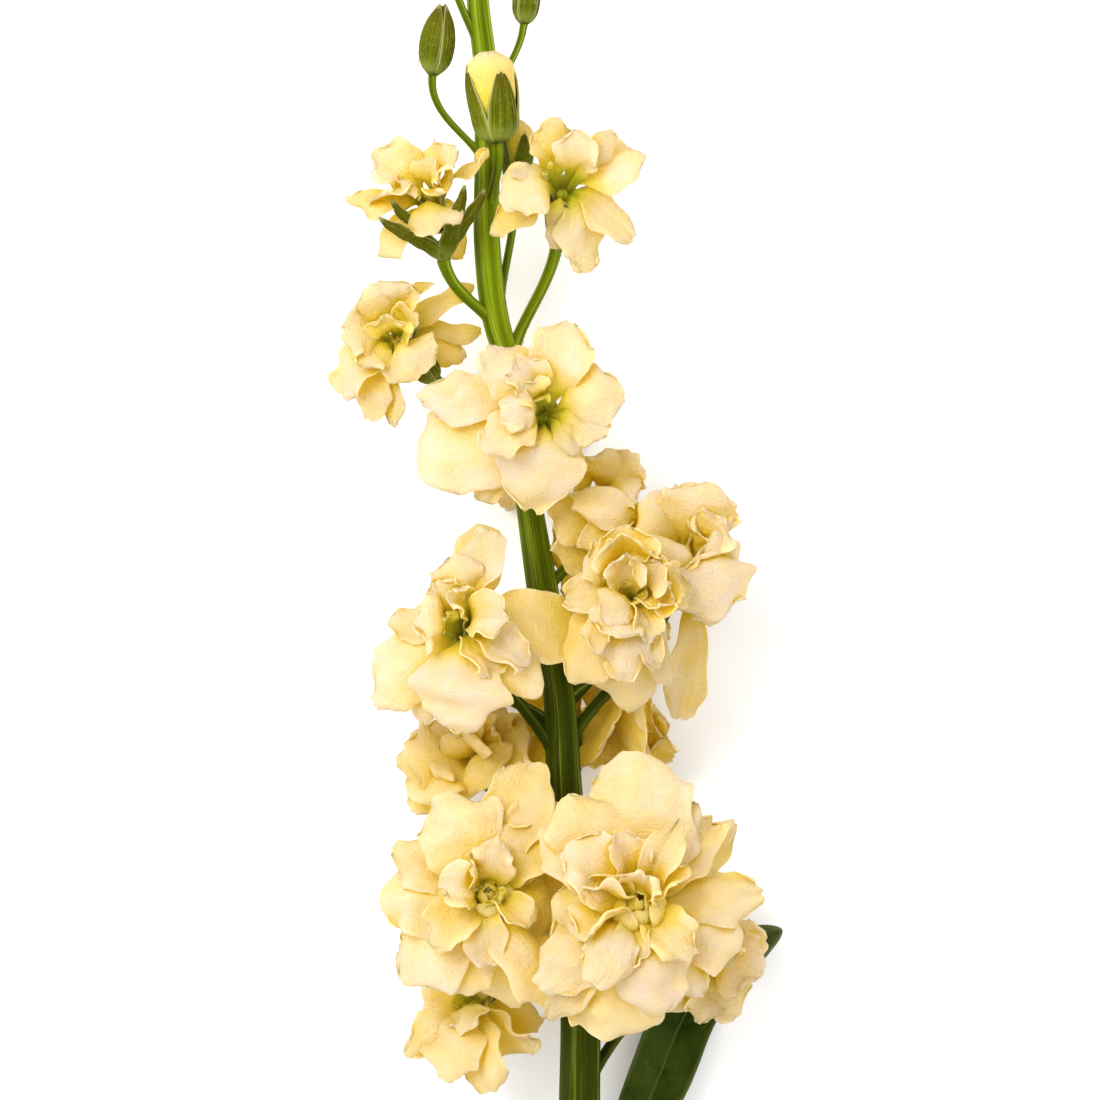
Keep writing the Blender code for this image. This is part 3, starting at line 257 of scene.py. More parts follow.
# The frame's cups of four sepals: each ring is a share of the cup's length and of its width, at a
# sepal's middle and at its edge
SEPALS = 4
Cup = namedtuple("Cup", "middles edges floor")
CALYX_CUP = Cup(
    [(0.0, 0.17), (0.2, 0.36), (0.9, 0.5), (0.6, 0.34)],
    [(0.0, 0.17), (0.2, 0.33), (0.66, 0.43), (0.6, 0.34)],
    0.54,
)
CALYX_WIDTH = 5.4
FOOT_PLAY = 0.05

Petal = namedtuple("Petal", "tip width rise crest cup roll claw free")
Bloom = namedtuple("Bloom", "name heart base joint face ruffles petals")
Bud = namedtuple("Bud", "name base tip width joint stalk")
Leaf = namedtuple("Leaf", "name line width up")


def petal(right, up, out, width, rise=3.0, crest=1.5, cup=-0.8, roll=0.0, claw=0.2, free=False):
    """A petal by its tip, measured from the bloom's heart, and its width.

    rise is how far it first follows the bloom's axis, crest how far its outer half bows towards its face,
    cup how far its edges turn to that face, roll the degrees that it is turned about its own length, and
    claw the share of it that is narrow. A free petal reaches past the plane that parts its bloom from the
    next one.
    """
    return Petal(np.array([right, up, out], float), width * FULLNESS, rise, crest, cup, roll, claw, free)


FRONT = (0.0, 0.2, 1.0)
BACK = (0.0, 0.2, -1.0)

BLOOMS = [
    Bloom(
        "bloom_01", (-17.7, 51.7, 26.5), (-16.0, 43.5, 24.0), 32.0, (-0.3, 0.7, 0.7), 0,
        [
            petal(-13.0, 1.0, 1.5, 8.0, crest=2.5, cup=-1.4),
            petal(-9.6, 7.8, 0.0, 8.0, crest=1.5, cup=1.2),
            petal(-9.3, 0.5, 5.0, 7.5, roll=35),
            petal(-10.6, -8.5, -1.0, 8.5, crest=3.0, cup=-1.5),
            petal(-1.0, -3.6, 6.0, 9.5, rise=5.0, crest=2.5, cup=-1.6),
            petal(5.0, 8.4, 3.0, 9.5, cup=1.4),
            petal(8.2, 8.0, 0.5, 7.5, roll=-25),
            petal(4.6, -7.8, -5.0, 5.0, crest=2.5),
        ],
    ),
    Bloom(
        "bloom_02", (1.8, 54.0, 29.5), (1.2, 47.0, 26.0), 26.0, (0.1, 0.5, 0.9), 1,
        [
            petal(-1.4, 11.1, 2.0, 5.5),
            petal(2.2, 9.8, 4.5, 6.0, cup=1.2),
            petal(8.0, 9.0, 2.0, 4.0, roll=20),
            petal(12.4, 6.0, 0.5, 9.5, crest=2.5, cup=-1.4),
            petal(11.2, -6.4, -1.5, 6.5, crest=2.5),
            petal(4.5, -11.4, -1.0, 7.5, crest=3.0, cup=-1.4),
            petal(-9.3, -3.0, 3.5, 9.0, crest=2.5, cup=-1.2),
            petal(-13.6, -6.2, 0.0, 7.5, crest=2.5),
        ],
    ),
    Bloom(
        "bloom_03", (-22.2, 31.2, 23.0), (-17.2, 25.6, 20.0), 18.5, (-0.3, 0.2, 0.9), 0,
        [
            petal(-6.4, 10.2, 2.5, 12.0, crest=2.0, cup=-1.8),
            petal(1.2, 11.0, 2.0, 7.5, cup=1.2),
            petal(5.2, 11.6, 0.0, 4.0, cup=1.2),
            petal(10.2, 10.0, -3.0, 4.2),
            petal(12.0, 3.0, -4.0, 4.0, crest=2.0),
            petal(9.6, -1.6, -3.5, 5.5, crest=2.0),
            petal(3.0, -5.0, 5.0, 9.5, rise=4.5, crest=2.0, cup=-1.6),
            petal(-9.6, 1.0, 3.0, 7.5, crest=2.0, cup=-1.2),
            petal(-9.4, -8.0, -1.5, 6.5, crest=2.5, cup=1.2),
            petal(-5.8, -11.4, -1.5, 6.0, crest=3.0),
            petal(-2.6, -12.4, -1.0, 5.0, crest=2.5, roll=25),
        ],
    ),
    Bloom(
        "bloom_04", (-1.0, 20.1, 35.0), (-3.4, 15.6, 28.5), 5.0, FRONT, 1,
        [
            petal(4.2, 14.0, 1.4, 8.5, crest=2.0, cup=1.2),
            petal(12.0, 3.8, 0.2, 9.5, crest=3.0, cup=-1.6),
            petal(9.6, -2.6, 2.0, 6.0, crest=2.0),
            petal(-1.8, -14.0, -1.5, 11.5, crest=3.0, cup=-1.8),
            petal(-7.2, 0.2, 5.8, 6.5, rise=4.0, crest=2.0, cup=-1.4),
            petal(-9.2, 9.6, 2.0, 8.0, crest=2.5, cup=-1.6),
            petal(-19.6, 3.8, -3.7, 8.0, crest=3.5, cup=-1.2, claw=0.3),
            petal(-9.0, -5.8, 4.3, 7.0, crest=3.0, roll=20),
            petal(-20.0, -8.5, -5.4, 14.0, crest=4.0, cup=-1.6, claw=0.3),
            petal(-12.2, -15.4, -6.1, 6.0, crest=3.0),
            petal(2.4, -17.6, -8.8, 5.5, crest=2.0, claw=0.3),
        ],
    ),
    Bloom(
        "bloom_05", (6.2, 6.4, 24.0), (4.6, 0.6, 23.0), -8.0, (0.4, 0.3, 0.8), 0,
        [
            petal(3.4, 9.4, 1.0, 10.0, crest=2.5, cup=-1.4),
            petal(8.0, 3.0, 0.5, 9.5, crest=2.0, cup=1.2),
            petal(4.6, -5.4, 2.0, 7.5, crest=2.5),
            petal(-2.6, 7.0, 2.5, 8.0, cup=1.2),
            petal(6.4, -1.6, 3.5, 6.5),
            petal(5.6, 7.0, -3.0, 8.0),
            petal(-2.0, -10.5, 2.5, 9.0, crest=3.0, cup=-1.2),
            petal(3.6, -9.6, 2.0, 8.0, crest=3.0),
        ],
    ),
    Bloom(
        "bloom_06", (20.6, -1.5, 24.5), (17.4, -9.6, 22.0), -34.0, (0.35, 0.35, 0.85), 1,
        [
            petal(0.0, 12.2, 0.0, 10.0, crest=2.5, cup=-1.4),
            petal(4.2, 9.8, -1.0, 6.0, cup=1.2),
            petal(-9.0, 9.4, -0.5, 9.0, crest=2.5, cup=-1.2),
            petal(7.2, 2.0, 0.0, 12.0, crest=3.0, cup=-1.6),
            petal(6.4, 6.4, 3.0, 7.5, cup=1.4),
            petal(6.6, -4.6, 0.5, 11.0, crest=3.0),
            petal(4.6, -9.8, -1.0, 7.5, crest=2.5),
            petal(-5.6, 5.6, 3.0, 9.0, crest=2.0),
            petal(2.0, 3.6, 6.5, 6.0, cup=1.4),
            petal(-0.4, -24.6, -3.0, 6.8, rise=2.0, crest=1.0, cup=1.2, claw=0.72),
        ],
    ),
    Bloom(
        "bloom_07", (12.3, -7.5, 34.0), (12.6, -13.2, 28.5), -25.0, (0.0, 0.1, 1.0), 2,
        [
            petal(-7.0, 6.8, 0.6, 6.0, crest=2.0),
            petal(-1.0, 11.4, 1.6, 8.5, crest=2.0, cup=1.6),
            petal(9.4, 2.4, 1.1, 6.5, crest=2.5, cup=1.4),
            petal(-9.6, -12.6, -1.4, 9.0, crest=3.0, cup=-1.4),
            petal(-1.6, -12.4, 2.2, 6.5, crest=3.0, cup=-1.2),
            petal(-0.6, -17.4, -4.7, 9.0, crest=3.0, cup=-1.6),
            petal(3.6, -10.4, 1.7, 4.0, cup=1.0),
            petal(-10.4, 6.4, -4.7, 6.5, crest=2.0),
            petal(-10.0, 0.2, -0.5, 5.5, crest=2.0, cup=1.2),
            petal(5.0, 6.0, 4.7, 6.0, cup=1.6),
            petal(-4.6, -4.2, 6.1, 6.0, crest=2.5),
        ],
    ),
    Bloom(
        "bloom_08", (-12.6, -12.2, 33.0), (-9.4, -17.0, 28.0), -37.0, FRONT, 1,
        [
            petal(0.0, -15.4, 0.2, 13.0, crest=3.5, cup=-1.8),
            petal(-8.6, 1.4, 3.9, 9.0, crest=3.0, cup=-1.6),
            petal(-11.6, 1.0, -2.5, 5.5, crest=1.5),
            petal(-14.4, -10.6, -3.8, 10.5, crest=3.5, cup=-1.4, claw=0.25),
            petal(-7.0, -13.8, -3.8, 5.0, crest=3.0),
            petal(-1.6, 12.0, 1.9, 8.0, crest=2.0, cup=-1.4),
            petal(-4.6, 7.8, 1.3, 5.5, cup=1.2),
            petal(5.2, 17.4, -1.8, 6.5, crest=2.0, cup=1.2),
            petal(3.4, 20.6, -6.4, 8.5, crest=1.5, claw=0.3),
            petal(7.4, 1.2, 4.8, 7.0, crest=2.0, cup=1.4),
            petal(19.0, -0.6, -5.0, 10.0, rise=5.0, crest=2.0, cup=0.6, claw=0.35, free=True),
            petal(12.4, -9.0, 2.5, 7.0, rise=5.0, crest=2.5),
        ],
    ),
    Bloom(
        "bloom_09", (5.6, -27.0, 12.0), (4.4, -32.0, 13.5), -40.0, (0.2, 0.2, -0.9), 0,
        [
            petal(2.0, 6.0, 2.0, 6.5),
            petal(8.4, 4.0, 2.0, 9.5, crest=2.0),
            petal(12.6, -0.8, 0.5, 9.5, crest=2.0),
            petal(-11.8, -0.8, 1.0, 9.5, crest=2.0),
            petal(-8.4, 4.4, -1.0, 9.0, crest=2.0),
            petal(2.4, -6.0, -7.0, 6.5, crest=2.0),
            petal(9.6, -5.4, -3.0, 7.0, crest=2.0),
            petal(-5.0, -3.0, -8.0, 7.0, crest=2.0),
            petal(4.0, 3.0, -9.0, 7.0, crest=2.0),
        ],
    ),
    Bloom(
        "bloom_10", (-9.4, -33.7, 15.0), (-5.6, -37.6, 16.0), -45.0, (-0.5, 0.2, 0.6), 0,
        [
            petal(-14.2, 1.6, 1.0, 10.0, crest=2.5, cup=-1.2),
            petal(-11.8, 5.4, -1.5, 8.0, crest=2.0),
            petal(-6.2, 6.4, 3.0, 9.0, crest=2.0),
            petal(-12.4, -4.8, 1.5, 9.0, crest=2.5),
            petal(-0.8, 7.4, 3.0, 8.5, crest=2.0),
            petal(5.0, 6.4, -3.0, 9.0, crest=2.0),
            petal(-5.0, 3.0, -9.0, 7.5, crest=2.0),
        ],
    ),
    Bloom(
        "bloom_11", (-8.4, -52.8, 32.5), (-5.4, -57.4, 27.0), -63.0, FRONT, 2,
        [
            petal(-7.8, 16.0, -0.8, 12.5, crest=3.5, cup=-2.0),
            petal(-15.2, 7.8, -3.6, 8.0, crest=2.5),
            petal(-17.2, 0.4, -3.6, 11.5, crest=4.0, cup=-1.6),
            petal(-14.2, -12.2, -3.9, 12.5, crest=4.5, cup=-1.8),
            petal(6.2, 20.8, -5.0, 10.0, crest=2.5, cup=1.2, free=True),
            petal(10.6, 14.6, -3.5, 10.0, crest=2.5, cup=1.2, free=True),
            petal(1.8, 10.2, 4.9, 6.0, cup=1.2),
            petal(3.4, -18.2, -6.0, 9.0, crest=4.0, cup=-1.6),
            petal(10.6, -1.2, -1.0, 9.0, crest=2.5, cup=-1.2, free=True),
            petal(11.4, 6.4, -3.0, 11.0, crest=2.0, free=True),
            petal(10.4, -7.0, -4.0, 7.5, crest=3.0, free=True),
            petal(-5.0, -14.0, -3.2, 9.0, crest=4.0),
            petal(-9.0, 3.0, 5.2, 6.5, crest=2.5, cup=1.4),
        ],
    ),
    Bloom(
        "bloom_12", (12.6, -54.3, 39.0), (10.4, -59.8, 32.5), -68.0, FRONT, 2,
        [
            petal(0.4, 24.2, -3.0, 16.0, crest=5.0, cup=-2.0),
            petal(-10.4, 17.6, 0.0, 11.0, crest=3.0, roll=-10, free=True),
            petal(-12.4, 1.5, 1.0, 9.5, crest=3.0, free=True),
            petal(-11.0, 10.0, 3.5, 10.0, crest=3.0, cup=1.4, free=True),
            petal(-14.2, -11.0, 0.5, 9.5, crest=4.0, cup=-1.4, free=True),
            petal(6.8, 14.4, 4.6, 5.0, crest=3.5, cup=1.4),
            petal(9.2, 16.4, -3.0, 7.0, crest=4.0),
            petal(12.2, 13.6, -4.9, 7.0, crest=4.0, cup=1.2),
            petal(15.2, 13.4, -7.8, 7.0, crest=4.0),
            petal(19.4, 2.8, -5.6, 8.5, crest=5.0, cup=-1.4),
            petal(16.4, -4.8, -2.6, 11.0, crest=5.0, cup=-1.8),
            petal(-5.2, -19.6, -3.5, 14.0, crest=5.0, cup=-1.8),
            petal(3.4, -15.4, -0.4, 10.0, crest=4.5, cup=-1.4),
            petal(-6.6, -10.4, 4.3, 7.5, crest=3.5, cup=-1.4),
            petal(-13.6, -16.0, -3.0, 7.0, crest=4.0),
            petal(2.6, 7.2, 5.7, 6.0, cup=1.6),
        ],
    ),
    Bloom(
        "bloom_13", (21.5, -61.5, 20.0), (16.0, -67.6, 16.0), -88.0, (0.5, -0.3, 0.8), 1,
        [
            petal(10.8, -3.0, 1.0, 9.5, crest=2.5, cup=-1.4),
            petal(7.2, -9.6, 0.0, 8.5, crest=2.5),
            petal(1.2, -10.2, 2.0, 7.5, crest=2.5, cup=1.2),
            petal(-3.6, -8.8, 3.5, 6.5, crest=2.5),
            petal(11.2, 2.2, -1.0, 7.5, crest=2.0),
            petal(6.0, 4.0, -9.0, 8.0, crest=2.0),
            petal(2.0, 6.0, -13.0, 8.0, crest=2.0),
            petal(5.0, -3.0, 5.0, 7.0, cup=1.4),
        ],
    ),
    Bloom(
        "bloom_14", (-10.4, -66.6, 17.0), (-5.4, -63.8, 16.0), -87.0, (-0.3, -0.5, 0.8), 1,
        [
            petal(-11.8, -10.0, -1.0, 6.0, crest=2.5),
            petal(-5.4, -14.2, 1.0, 9.5, crest=3.0, cup=-1.4),
            petal(1.6, -16.2, 0.5, 9.0, crest=3.0),
            petal(7.4, -10.0, -1.0, 8.5, crest=3.0, cup=1.2),
            petal(8.6, -7.0, -3.0, 5.5, crest=2.5),
            petal(-1.0, -7.0, 4.0, 7.0, crest=2.0),
            petal(-7.0, 1.0, -10.0, 8.0, crest=2.0),
            petal(-2.0, 4.0, -12.0, 7.0, crest=2.0),
            petal(-9.0, -4.0, -7.0, 7.0, crest=2.0),
        ],
    ),
    Bloom(
        "bloom_15", (-3.6, 15.0, 7.0), (-3.4, 9.6, 13.0), 0.0, BACK, 0,
        [
            petal(8.5, 1.0, -5.5, 7.5, crest=3.0),
            petal(5.0, 7.5, -5.0, 7.5, crest=3.0),
            petal(-2.0, 9.5, -4.0, 7.5, crest=3.0),
            petal(-8.5, 5.0, -5.0, 7.5, crest=3.0),
            petal(-9.0, -2.5, -5.0, 7.5, crest=3.0),
            petal(-3.5, -8.0, -6.5, 7.5, crest=3.0),
            petal(4.5, -6.5, -6.5, 7.5, crest=3.0),
        ],
    ),
    Bloom(
        "bloom_16", (9.6, -13.2, 7.2), (7.4, -18.0, 13.0), -27.0, BACK, 0,
        [
            petal(9.0, 0.5, -4.0, 7.5, crest=3.0),
            petal(6.0, 7.0, -5.0, 7.5, crest=3.0),
            petal(-2.0, 8.5, -5.0, 7.5, crest=3.0),
            petal(-6.5, 2.5, -6.0, 7.0, crest=3.0),
            petal(-4.5, -5.0, -7.0, 7.0, crest=3.0),
            petal(5.5, -6.5, -6.0, 7.5, crest=3.0),
        ],
    ),
    Bloom(
        "bloom_17", (-13.6, -15.6, 7.6), (-10.4, -19.8, 14.0), -30.0, BACK, 0,
        [
            petal(8.0, 2.0, -6.5, 7.0, crest=3.0),
            petal(4.0, 8.0, -5.5, 7.5, crest=3.0),
            petal(-4.0, 7.5, -5.0, 7.5, crest=3.0),
            petal(-8.5, 1.0, -5.0, 7.5, crest=3.0),
            petal(-5.5, -6.5, -6.0, 7.5, crest=3.0),
            petal(3.5, -7.0, -7.0, 7.0, crest=3.0),
        ],
    ),
    Bloom(
        "bloom_18", (1.4, -51.0, 6.0), (2.6, -57.0, 10.0), -67.0, BACK, 0,
        [
            petal(10.0, 1.5, -4.0, 8.0, crest=3.0),
            petal(6.0, 8.0, -3.5, 8.0, crest=3.0),
            petal(-3.0, 9.0, -3.5, 8.0, crest=3.0),
            petal(-9.5, 3.5, -4.0, 8.0, crest=3.0),
            petal(-7.5, -5.0, -5.0, 8.0, crest=3.0),
            petal(1.0, -8.5, -6.0, 8.0, crest=3.0),
            petal(8.0, -5.5, -5.5, 8.0, crest=3.0),
        ],
    ),
]

# Petals that are too slim or too many for the frame's solids
MORE_PETALS = {
    "bloom_01": [
        petal(0.0, 7.4, 4.5, 5.0, cup=1.4),
        petal(2.6, 2.6, 6.0, 5.0, cup=1.2),
        petal(-5.0, 3.4, 5.0, 5.5),
    ],
    "bloom_02": [
        petal(-4.2, 9.0, 0.0, 3.5),
        petal(5.5, 5.5, 5.0, 3.2),
        petal(-0.9, -8.4, -2.0, 3.6),
        petal(-7.6, 2.6, 3.5, 3.4),
    ],
    "bloom_03": [
        petal(-3.0, 10.4, 4.0, 7.5, cup=-1.2),
        petal(-6.6, -3.4, 5.0, 6.5),
        petal(-8.0, 5.0, 1.0, 7.0),
        petal(-2.4, 4.6, 5.5, 7.0, cup=1.4, free=True),
        petal(2.6, 3.4, 5.5, 6.0, cup=1.4, free=True),
    ],
    "bloom_04": [
        petal(4.6, -6.0, 2.5, 3.2),
        petal(6.0, -9.6, -1.0, 2.8),
        petal(-3.6, 4.6, 5.0, 5.0, cup=1.6),
        petal(-4.4, 8.6, 3.0, 6.0, cup=1.4),
    ],
    "bloom_05": [
        petal(-1.5, -15.5, -7.0, 9.5, free=True),
        petal(-4.0, -2.0, -5.0, 8.0, free=True),
        petal(-4.6, -9.4, -6.0, 8.0, free=True),
        petal(3.0, -3.6, 8.0, 11.5, rise=9.0, crest=3.0, cup=-2.0, free=True),
        petal(-4.6, -5.4, 6.0, 7.5, rise=5.0, crest=2.0, cup=-1.4, free=True),
        petal(6.2, 8.4, 2.0, 7.5, crest=2.0, cup=-1.2, free=True),
        petal(3.6, -8.4, 5.0, 9.5, rise=6.0, crest=2.5, cup=-1.6, free=True),
    ],
    "bloom_06": [
        petal(3.4, 12.0, 4.5, 12.0, crest=3.0, cup=-1.8, free=True),
        petal(-6.4, 9.4, 4.0, 12.5, crest=3.0, cup=-1.8, free=True),
        petal(-11.0, 4.6, 1.0, 11.0, crest=2.5, cup=-1.4, free=True),
        petal(5.6, 1.6, 6.0, 11.5, rise=8.0, crest=3.0, cup=-1.8, free=True),
        petal(3.6, -9.4, 6.5, 13.0, rise=9.0, crest=3.5, cup=-2.2, free=True),
        petal(-3.6, -4.0, 7.5, 10.0, rise=7.0, crest=2.0, cup=-1.4, free=True),
        petal(-3.4, -3.0, 3.0, 8.0, crest=2.0),
    ],
    "bloom_09": [
        petal(-9.5, -4.5, 2.0, 9.0, crest=2.0),
        petal(-10.5, 3.6, 1.5, 8.5, crest=2.0),
        petal(7.0, -4.0, 2.5, 8.5, crest=2.0),
        petal(5.0, 7.6, -1.0, 9.0, crest=2.0, free=True),
        petal(-4.6, 7.0, -3.0, 8.5, crest=2.0, free=True),
        petal(13.6, -4.6, -1.0, 8.5, crest=2.0, free=True),
        petal(9.4, 4.6, 6.0, 12.5, crest=1.0, cup=1.4, free=True),
        petal(8.8, -3.4, 6.5, 12.0, crest=1.0, cup=1.2, free=True),
        petal(1.0, -5.4, 7.5, 10.5, rise=6.0, crest=1.5, cup=-1.0, free=True),
    ],
    "bloom_10": [
        petal(2.6, 4.0, 1.0, 7.5, crest=2.0, free=True),
        petal(-9.0, 0.6, 4.5, 8.0, crest=2.0),
        petal(7.6, 2.0, -4.0, 9.0, crest=2.0, free=True),
        petal(10.4, 4.6, -2.0, 11.0, crest=2.0, free=True),
        petal(8.4, 8.8, -3.0, 10.0, crest=2.0, free=True),
        petal(-3.4, 9.8, 0.0, 9.0, crest=2.5, free=True),
        petal(2.0, 9.6, -2.0, 9.5, crest=2.0, free=True),
        petal(6.0, 6.6, 3.0, 12.0, crest=1.5, cup=-1.4, free=True),
        petal(-4.0, 7.8, 6.0, 13.0, crest=2.0, cup=-1.6, free=True),
        petal(-13.0, 3.4, 5.0, 12.0, crest=2.0, cup=-1.8, free=True),
        petal(-12.0, -4.0, 6.0, 12.0, rise=5.0, crest=2.5, cup=-1.8, free=True),
        petal(0.5, -2.0, 7.0, 10.0, rise=6.0, crest=1.5, cup=-1.4, free=True),
    ],
    "bloom_07": [
        petal(5.6, -13.0, -2.0, 4.0),
        petal(-5.6, 9.2, 2.6, 5.5, crest=2.0, cup=-2.2),
        petal(-1.6, 10.4, 7.0, 9.0, crest=-0.5, cup=3.4),
        petal(-0.8, 7.6, 8.0, 5.5, crest=-0.5, cup=2.8),
        petal(-3.0, -5.4, 8.0, 8.0, rise=4.0, crest=1.5, cup=-1.6),
        petal(3.6, 7.4, 5.0, 4.6, crest=0.5, cup=2.4, roll=30),
        petal(8.0, 1.2, 3.5, 6.5, crest=0.5, cup=3.0),
        petal(6.2, -0.4, 5.5, 4.5, crest=0.0, cup=2.4),
        petal(-5.4, -8.0, 4.5, 5.0, crest=2.0, cup=1.6, roll=40),
        petal(2.0, -6.6, 5.5, 4.4, crest=1.5, cup=1.8, roll=-40),
    ],
    "bloom_08": [
        petal(4.2, -6.8, 4.0, 5.5, crest=1.5, cup=1.4, roll=-20),
        petal(-2.6, 5.6, 5.5, 4.6, crest=1.0, cup=1.6, roll=30),
        petal(9.6, -4.6, 3.0, 5.5, rise=4.0, crest=2.0, cup=1.2),
    ],
    "bloom_11": [
        petal(-4.0, 7.4, 5.0, 6.5, crest=1.0, cup=2.0, roll=25),
        petal(5.6, -3.8, 5.5, 5.0, crest=1.5, cup=1.8, roll=-30),
        petal(11.2, 2.4, -3.4, 8.5, crest=2.0, free=True),
        petal(9.4, -12.4, -3.4, 7.5, crest=2.5, free=True),
        petal(7.0, 10.4, 1.0, 9.0, crest=2.5, cup=1.4, free=True),
        petal(-9.8, -6.4, 3.0, 7.0, crest=3.0, cup=1.4),
        petal(-1.4, -9.4, 2.8, 6.0, crest=3.0, cup=1.4),
        petal(10.4, -16.0, 2.0, 10.0, crest=3.0, cup=-2.0, roll=-25, free=True),
    ],
    "bloom_12": [
        petal(-7.6, 6.2, 6.0, 5.5, crest=2.0, cup=2.2, roll=-30, free=True),
        petal(-13.4, 12.6, -2.0, 10.0, crest=3.0, cup=-1.4, free=True),
        petal(-12.8, -4.4, -0.5, 8.5, crest=3.0, free=True),
        petal(-2.4, 12.6, 4.6, 6.0, crest=2.0, cup=2.0, roll=20),
        petal(8.4, 6.6, 5.0, 6.0, crest=2.5, cup=2.0, roll=-25),
        petal(8.2, -6.4, 4.4, 7.0, crest=3.0, cup=1.6),
        petal(10.2, -12.0, -2.4, 9.0, crest=4.0),
        petal(-1.4, -8.0, 4.8, 5.0, crest=2.0, cup=1.4),
        petal(-9.0, 4.4, 6.6, 6.5, crest=2.0, cup=3.0, roll=50, free=True),
        petal(-8.4, -3.6, 6.0, 6.0, crest=2.5, cup=2.6, roll=40, free=True),
    ],
}

# Blooms whose innermost petals are still folded into a knot: its size, and how far its paint is from green to
# cream, in millimetres along a petal
KNOTS = {
    "bloom_01": (0.7, 1.4),
    "bloom_03": (0.8, 2.4),
    "bloom_11": (1.5, 2.0),
    "bloom_12": (1.9, 2.0),
    "bloom_13": (0.8, 1.4),
    "bloom_14": (0.8, 1.4),
}

# How deep a yellow the petals are, from the palest petal of a bloom to the deepest
USUAL_TONES = (0.1, 0.9)
BLOOM_TONES = {
    "bloom_04": (0.0, 0.25),
    "bloom_05": (0.2, 0.6),
    "bloom_06": (0.1, 0.6),
    "bloom_08": (0.0, 0.5),
    # bloom_09 faces down behind the stem: its deep yellow is partly painted shade
    "bloom_09": (0.6, 1.0),
    "bloom_10": (0.3, 0.9),
}

# Blooms seen from their side or their back, of whose green claws and crumpled rims little shows: how
# far along the petals their paint starts, in millimetres, and the share of the usual crumple
BLOOM_AGES = {"bloom_05": 4.0, "bloom_06": 4.0, "bloom_07": 2.0, "bloom_09": 4.0, "bloom_10": 4.0}
USUAL_CRUMPLE = 0.85
BLOOM_CRUMPLE = {
    "bloom_01": 0.65,
    "bloom_02": 0.65,
    "bloom_03": 0.6,
    "bloom_05": 0.55,
    "bloom_06": 0.55,
    "bloom_07": 0.55,
    "bloom_09": 0.7,
    "bloom_10": 0.5,
}

# Blooms whose sepals are long and spread, and each sepal's tip measured from the calyx's base
SPREAD_SEPALS = {
    "bloom_01": [(-9.6, 6.2, 9.0), (-7.8, 9.0, 7.0), (3.2, 11.0, 10.0), (6.2, 10.6, 6.0)],
}

# Leaves: thickness, where along a leaf it is widest and how blunt it is, how its halves fold up, how
# its tip folds in, the groove of its midrib, the waves of its edges and the height at which it rests
LEAF_ROWS = 80
LEAF_COLUMNS = 31
LEAF_THICK = 0.55
LEAF_ROOT = 0.06
LEAF_LOWEST = 1.15
LEAF_POWER = 0.5
LEAF_NARROWEST = 0.3
LEAF_FOLD = 0.9
TIP_FOLD = 1.6
TIP_FOLD_START = 0.78
TIP_FOLD_REACH = 0.2
LEAF_GROOVE = 0.3
GROOVE_WIDTH = 0.1
LEAF_WAVE = 0.7
LEAF_WAVES = 1.8
LEAF_REST = 0.3
LEAF_TONE_STEP = 0.2

# The knot of unopened petals, cupped round each other: how deep it starts, how high it rises, each petal's
# (share of length, radius, half width), and how its petals lean out and widen from the first to the last.
# Radii and widths are what the first petal has and what the last has more
KNOT_DEPTH = 1.6
KNOT_HEIGHT = 2.2
KNOT_PETALS = 7
KNOT_PROFILE = [(0.0, 0.4, 0.5), (0.35, 1.5, 1.5), (0.7, 1.8, 2.1), (0.9, 1.2, 1.5), (1.0, 0.5, 0.5)]
KNOT_ROWS = 16
KNOT_COLUMNS = 11
KNOT_FACING = 0.8
KNOT_DROP = 0.35
KNOT_LENGTHS = (0.85, 1.1)
KNOT_RADII = (0.35, 0.75)
KNOT_WIDTHS = (0.5, 0.6)
KNOT_SINK = 0.4
KNOT_ROOT_OUT = 0.25
KNOT_LEAN = 0.9
KNOT_LEANS = (0.3, 1.0)
KNOT_PAINT_LENGTH = 2.2
KNOT_PAINT_MORE = 1.6
KNOT_RIM = 0.9

# The green middle on which a bloom's petals stand: its profile gives (share of length, radius)
THROAT_DEPTH = 4.0
THROAT_TOP = 0.4
THROAT_TONE = 0.5
# The throat's paint reaches into the petals' painted dark green shade of the heart
THROAT_PAINT_LENGTH = 0.8
THROAT_PROFILE = [(0.0, 0.7), (0.6, 0.9), (0.9, 1.0), (1.0, 0.6)]

# Sepals: the profiles give (share of length, radius, half width), a bud's as shares of its width. Every
# second sepal lies over its neighbours, each has a keel, and the foot is the small body under them. Long
# sepals start along the axis and bow outwards: the two handles of their curve lie at (share of the length,
# millimetres outwards)
SEPAL_THICK = 0.3
SEPAL_TONE_STEP = 0.1
UNEVEN_SEPALS = 0.08
OVERLAP = 0.08
KEEL = 0.10
KEEL_WIDTH = 0.16
LEAST_HALF_WIDTH = 0.03
CALYX_PROFILE = [(0.0, 0.75, 0.75), (0.1, 1.45, 1.2), (0.35, 2.0, 1.5), (0.7, 2.45, 1.3), (1.0, 3.0, 0.05)]
CALYX_REACH = 1.02
CALYX_TURN = 40.0
CALYX_TURN_STEP = 31.0
CALYX_TONE_STEP = 0.05
FOOT_TONE = 0.3
FOOT_LENGTH = 3.0
CALYX_FOOT = [(0.0, 0.6), (0.3, 1.2), (1.0, 1.0)]
LONG_SEPAL_UP = 0.5
LONG_SEPAL_START = (0.25, 1.4)
LONG_SEPAL_END = (0.7, 0.8)
LONG_SEPAL_ROWS = 36
LONG_SEPAL_COLUMNS = 13
LONG_SEPAL_WIDTH = [(0.0, 0.7), (0.2, 1.15), (0.5, 1.2), (0.8, 0.8), (1.0, 0.12)]
LONG_SEPAL_TONE_STEP = 0.3
LONG_SEPAL_BOW = 0.55
LONG_SEPAL_KEEL = 0.22
LONG_SEPAL_KEEL_WIDTH = 0.18
LONG_SEPAL_CRINKLE = 0.14
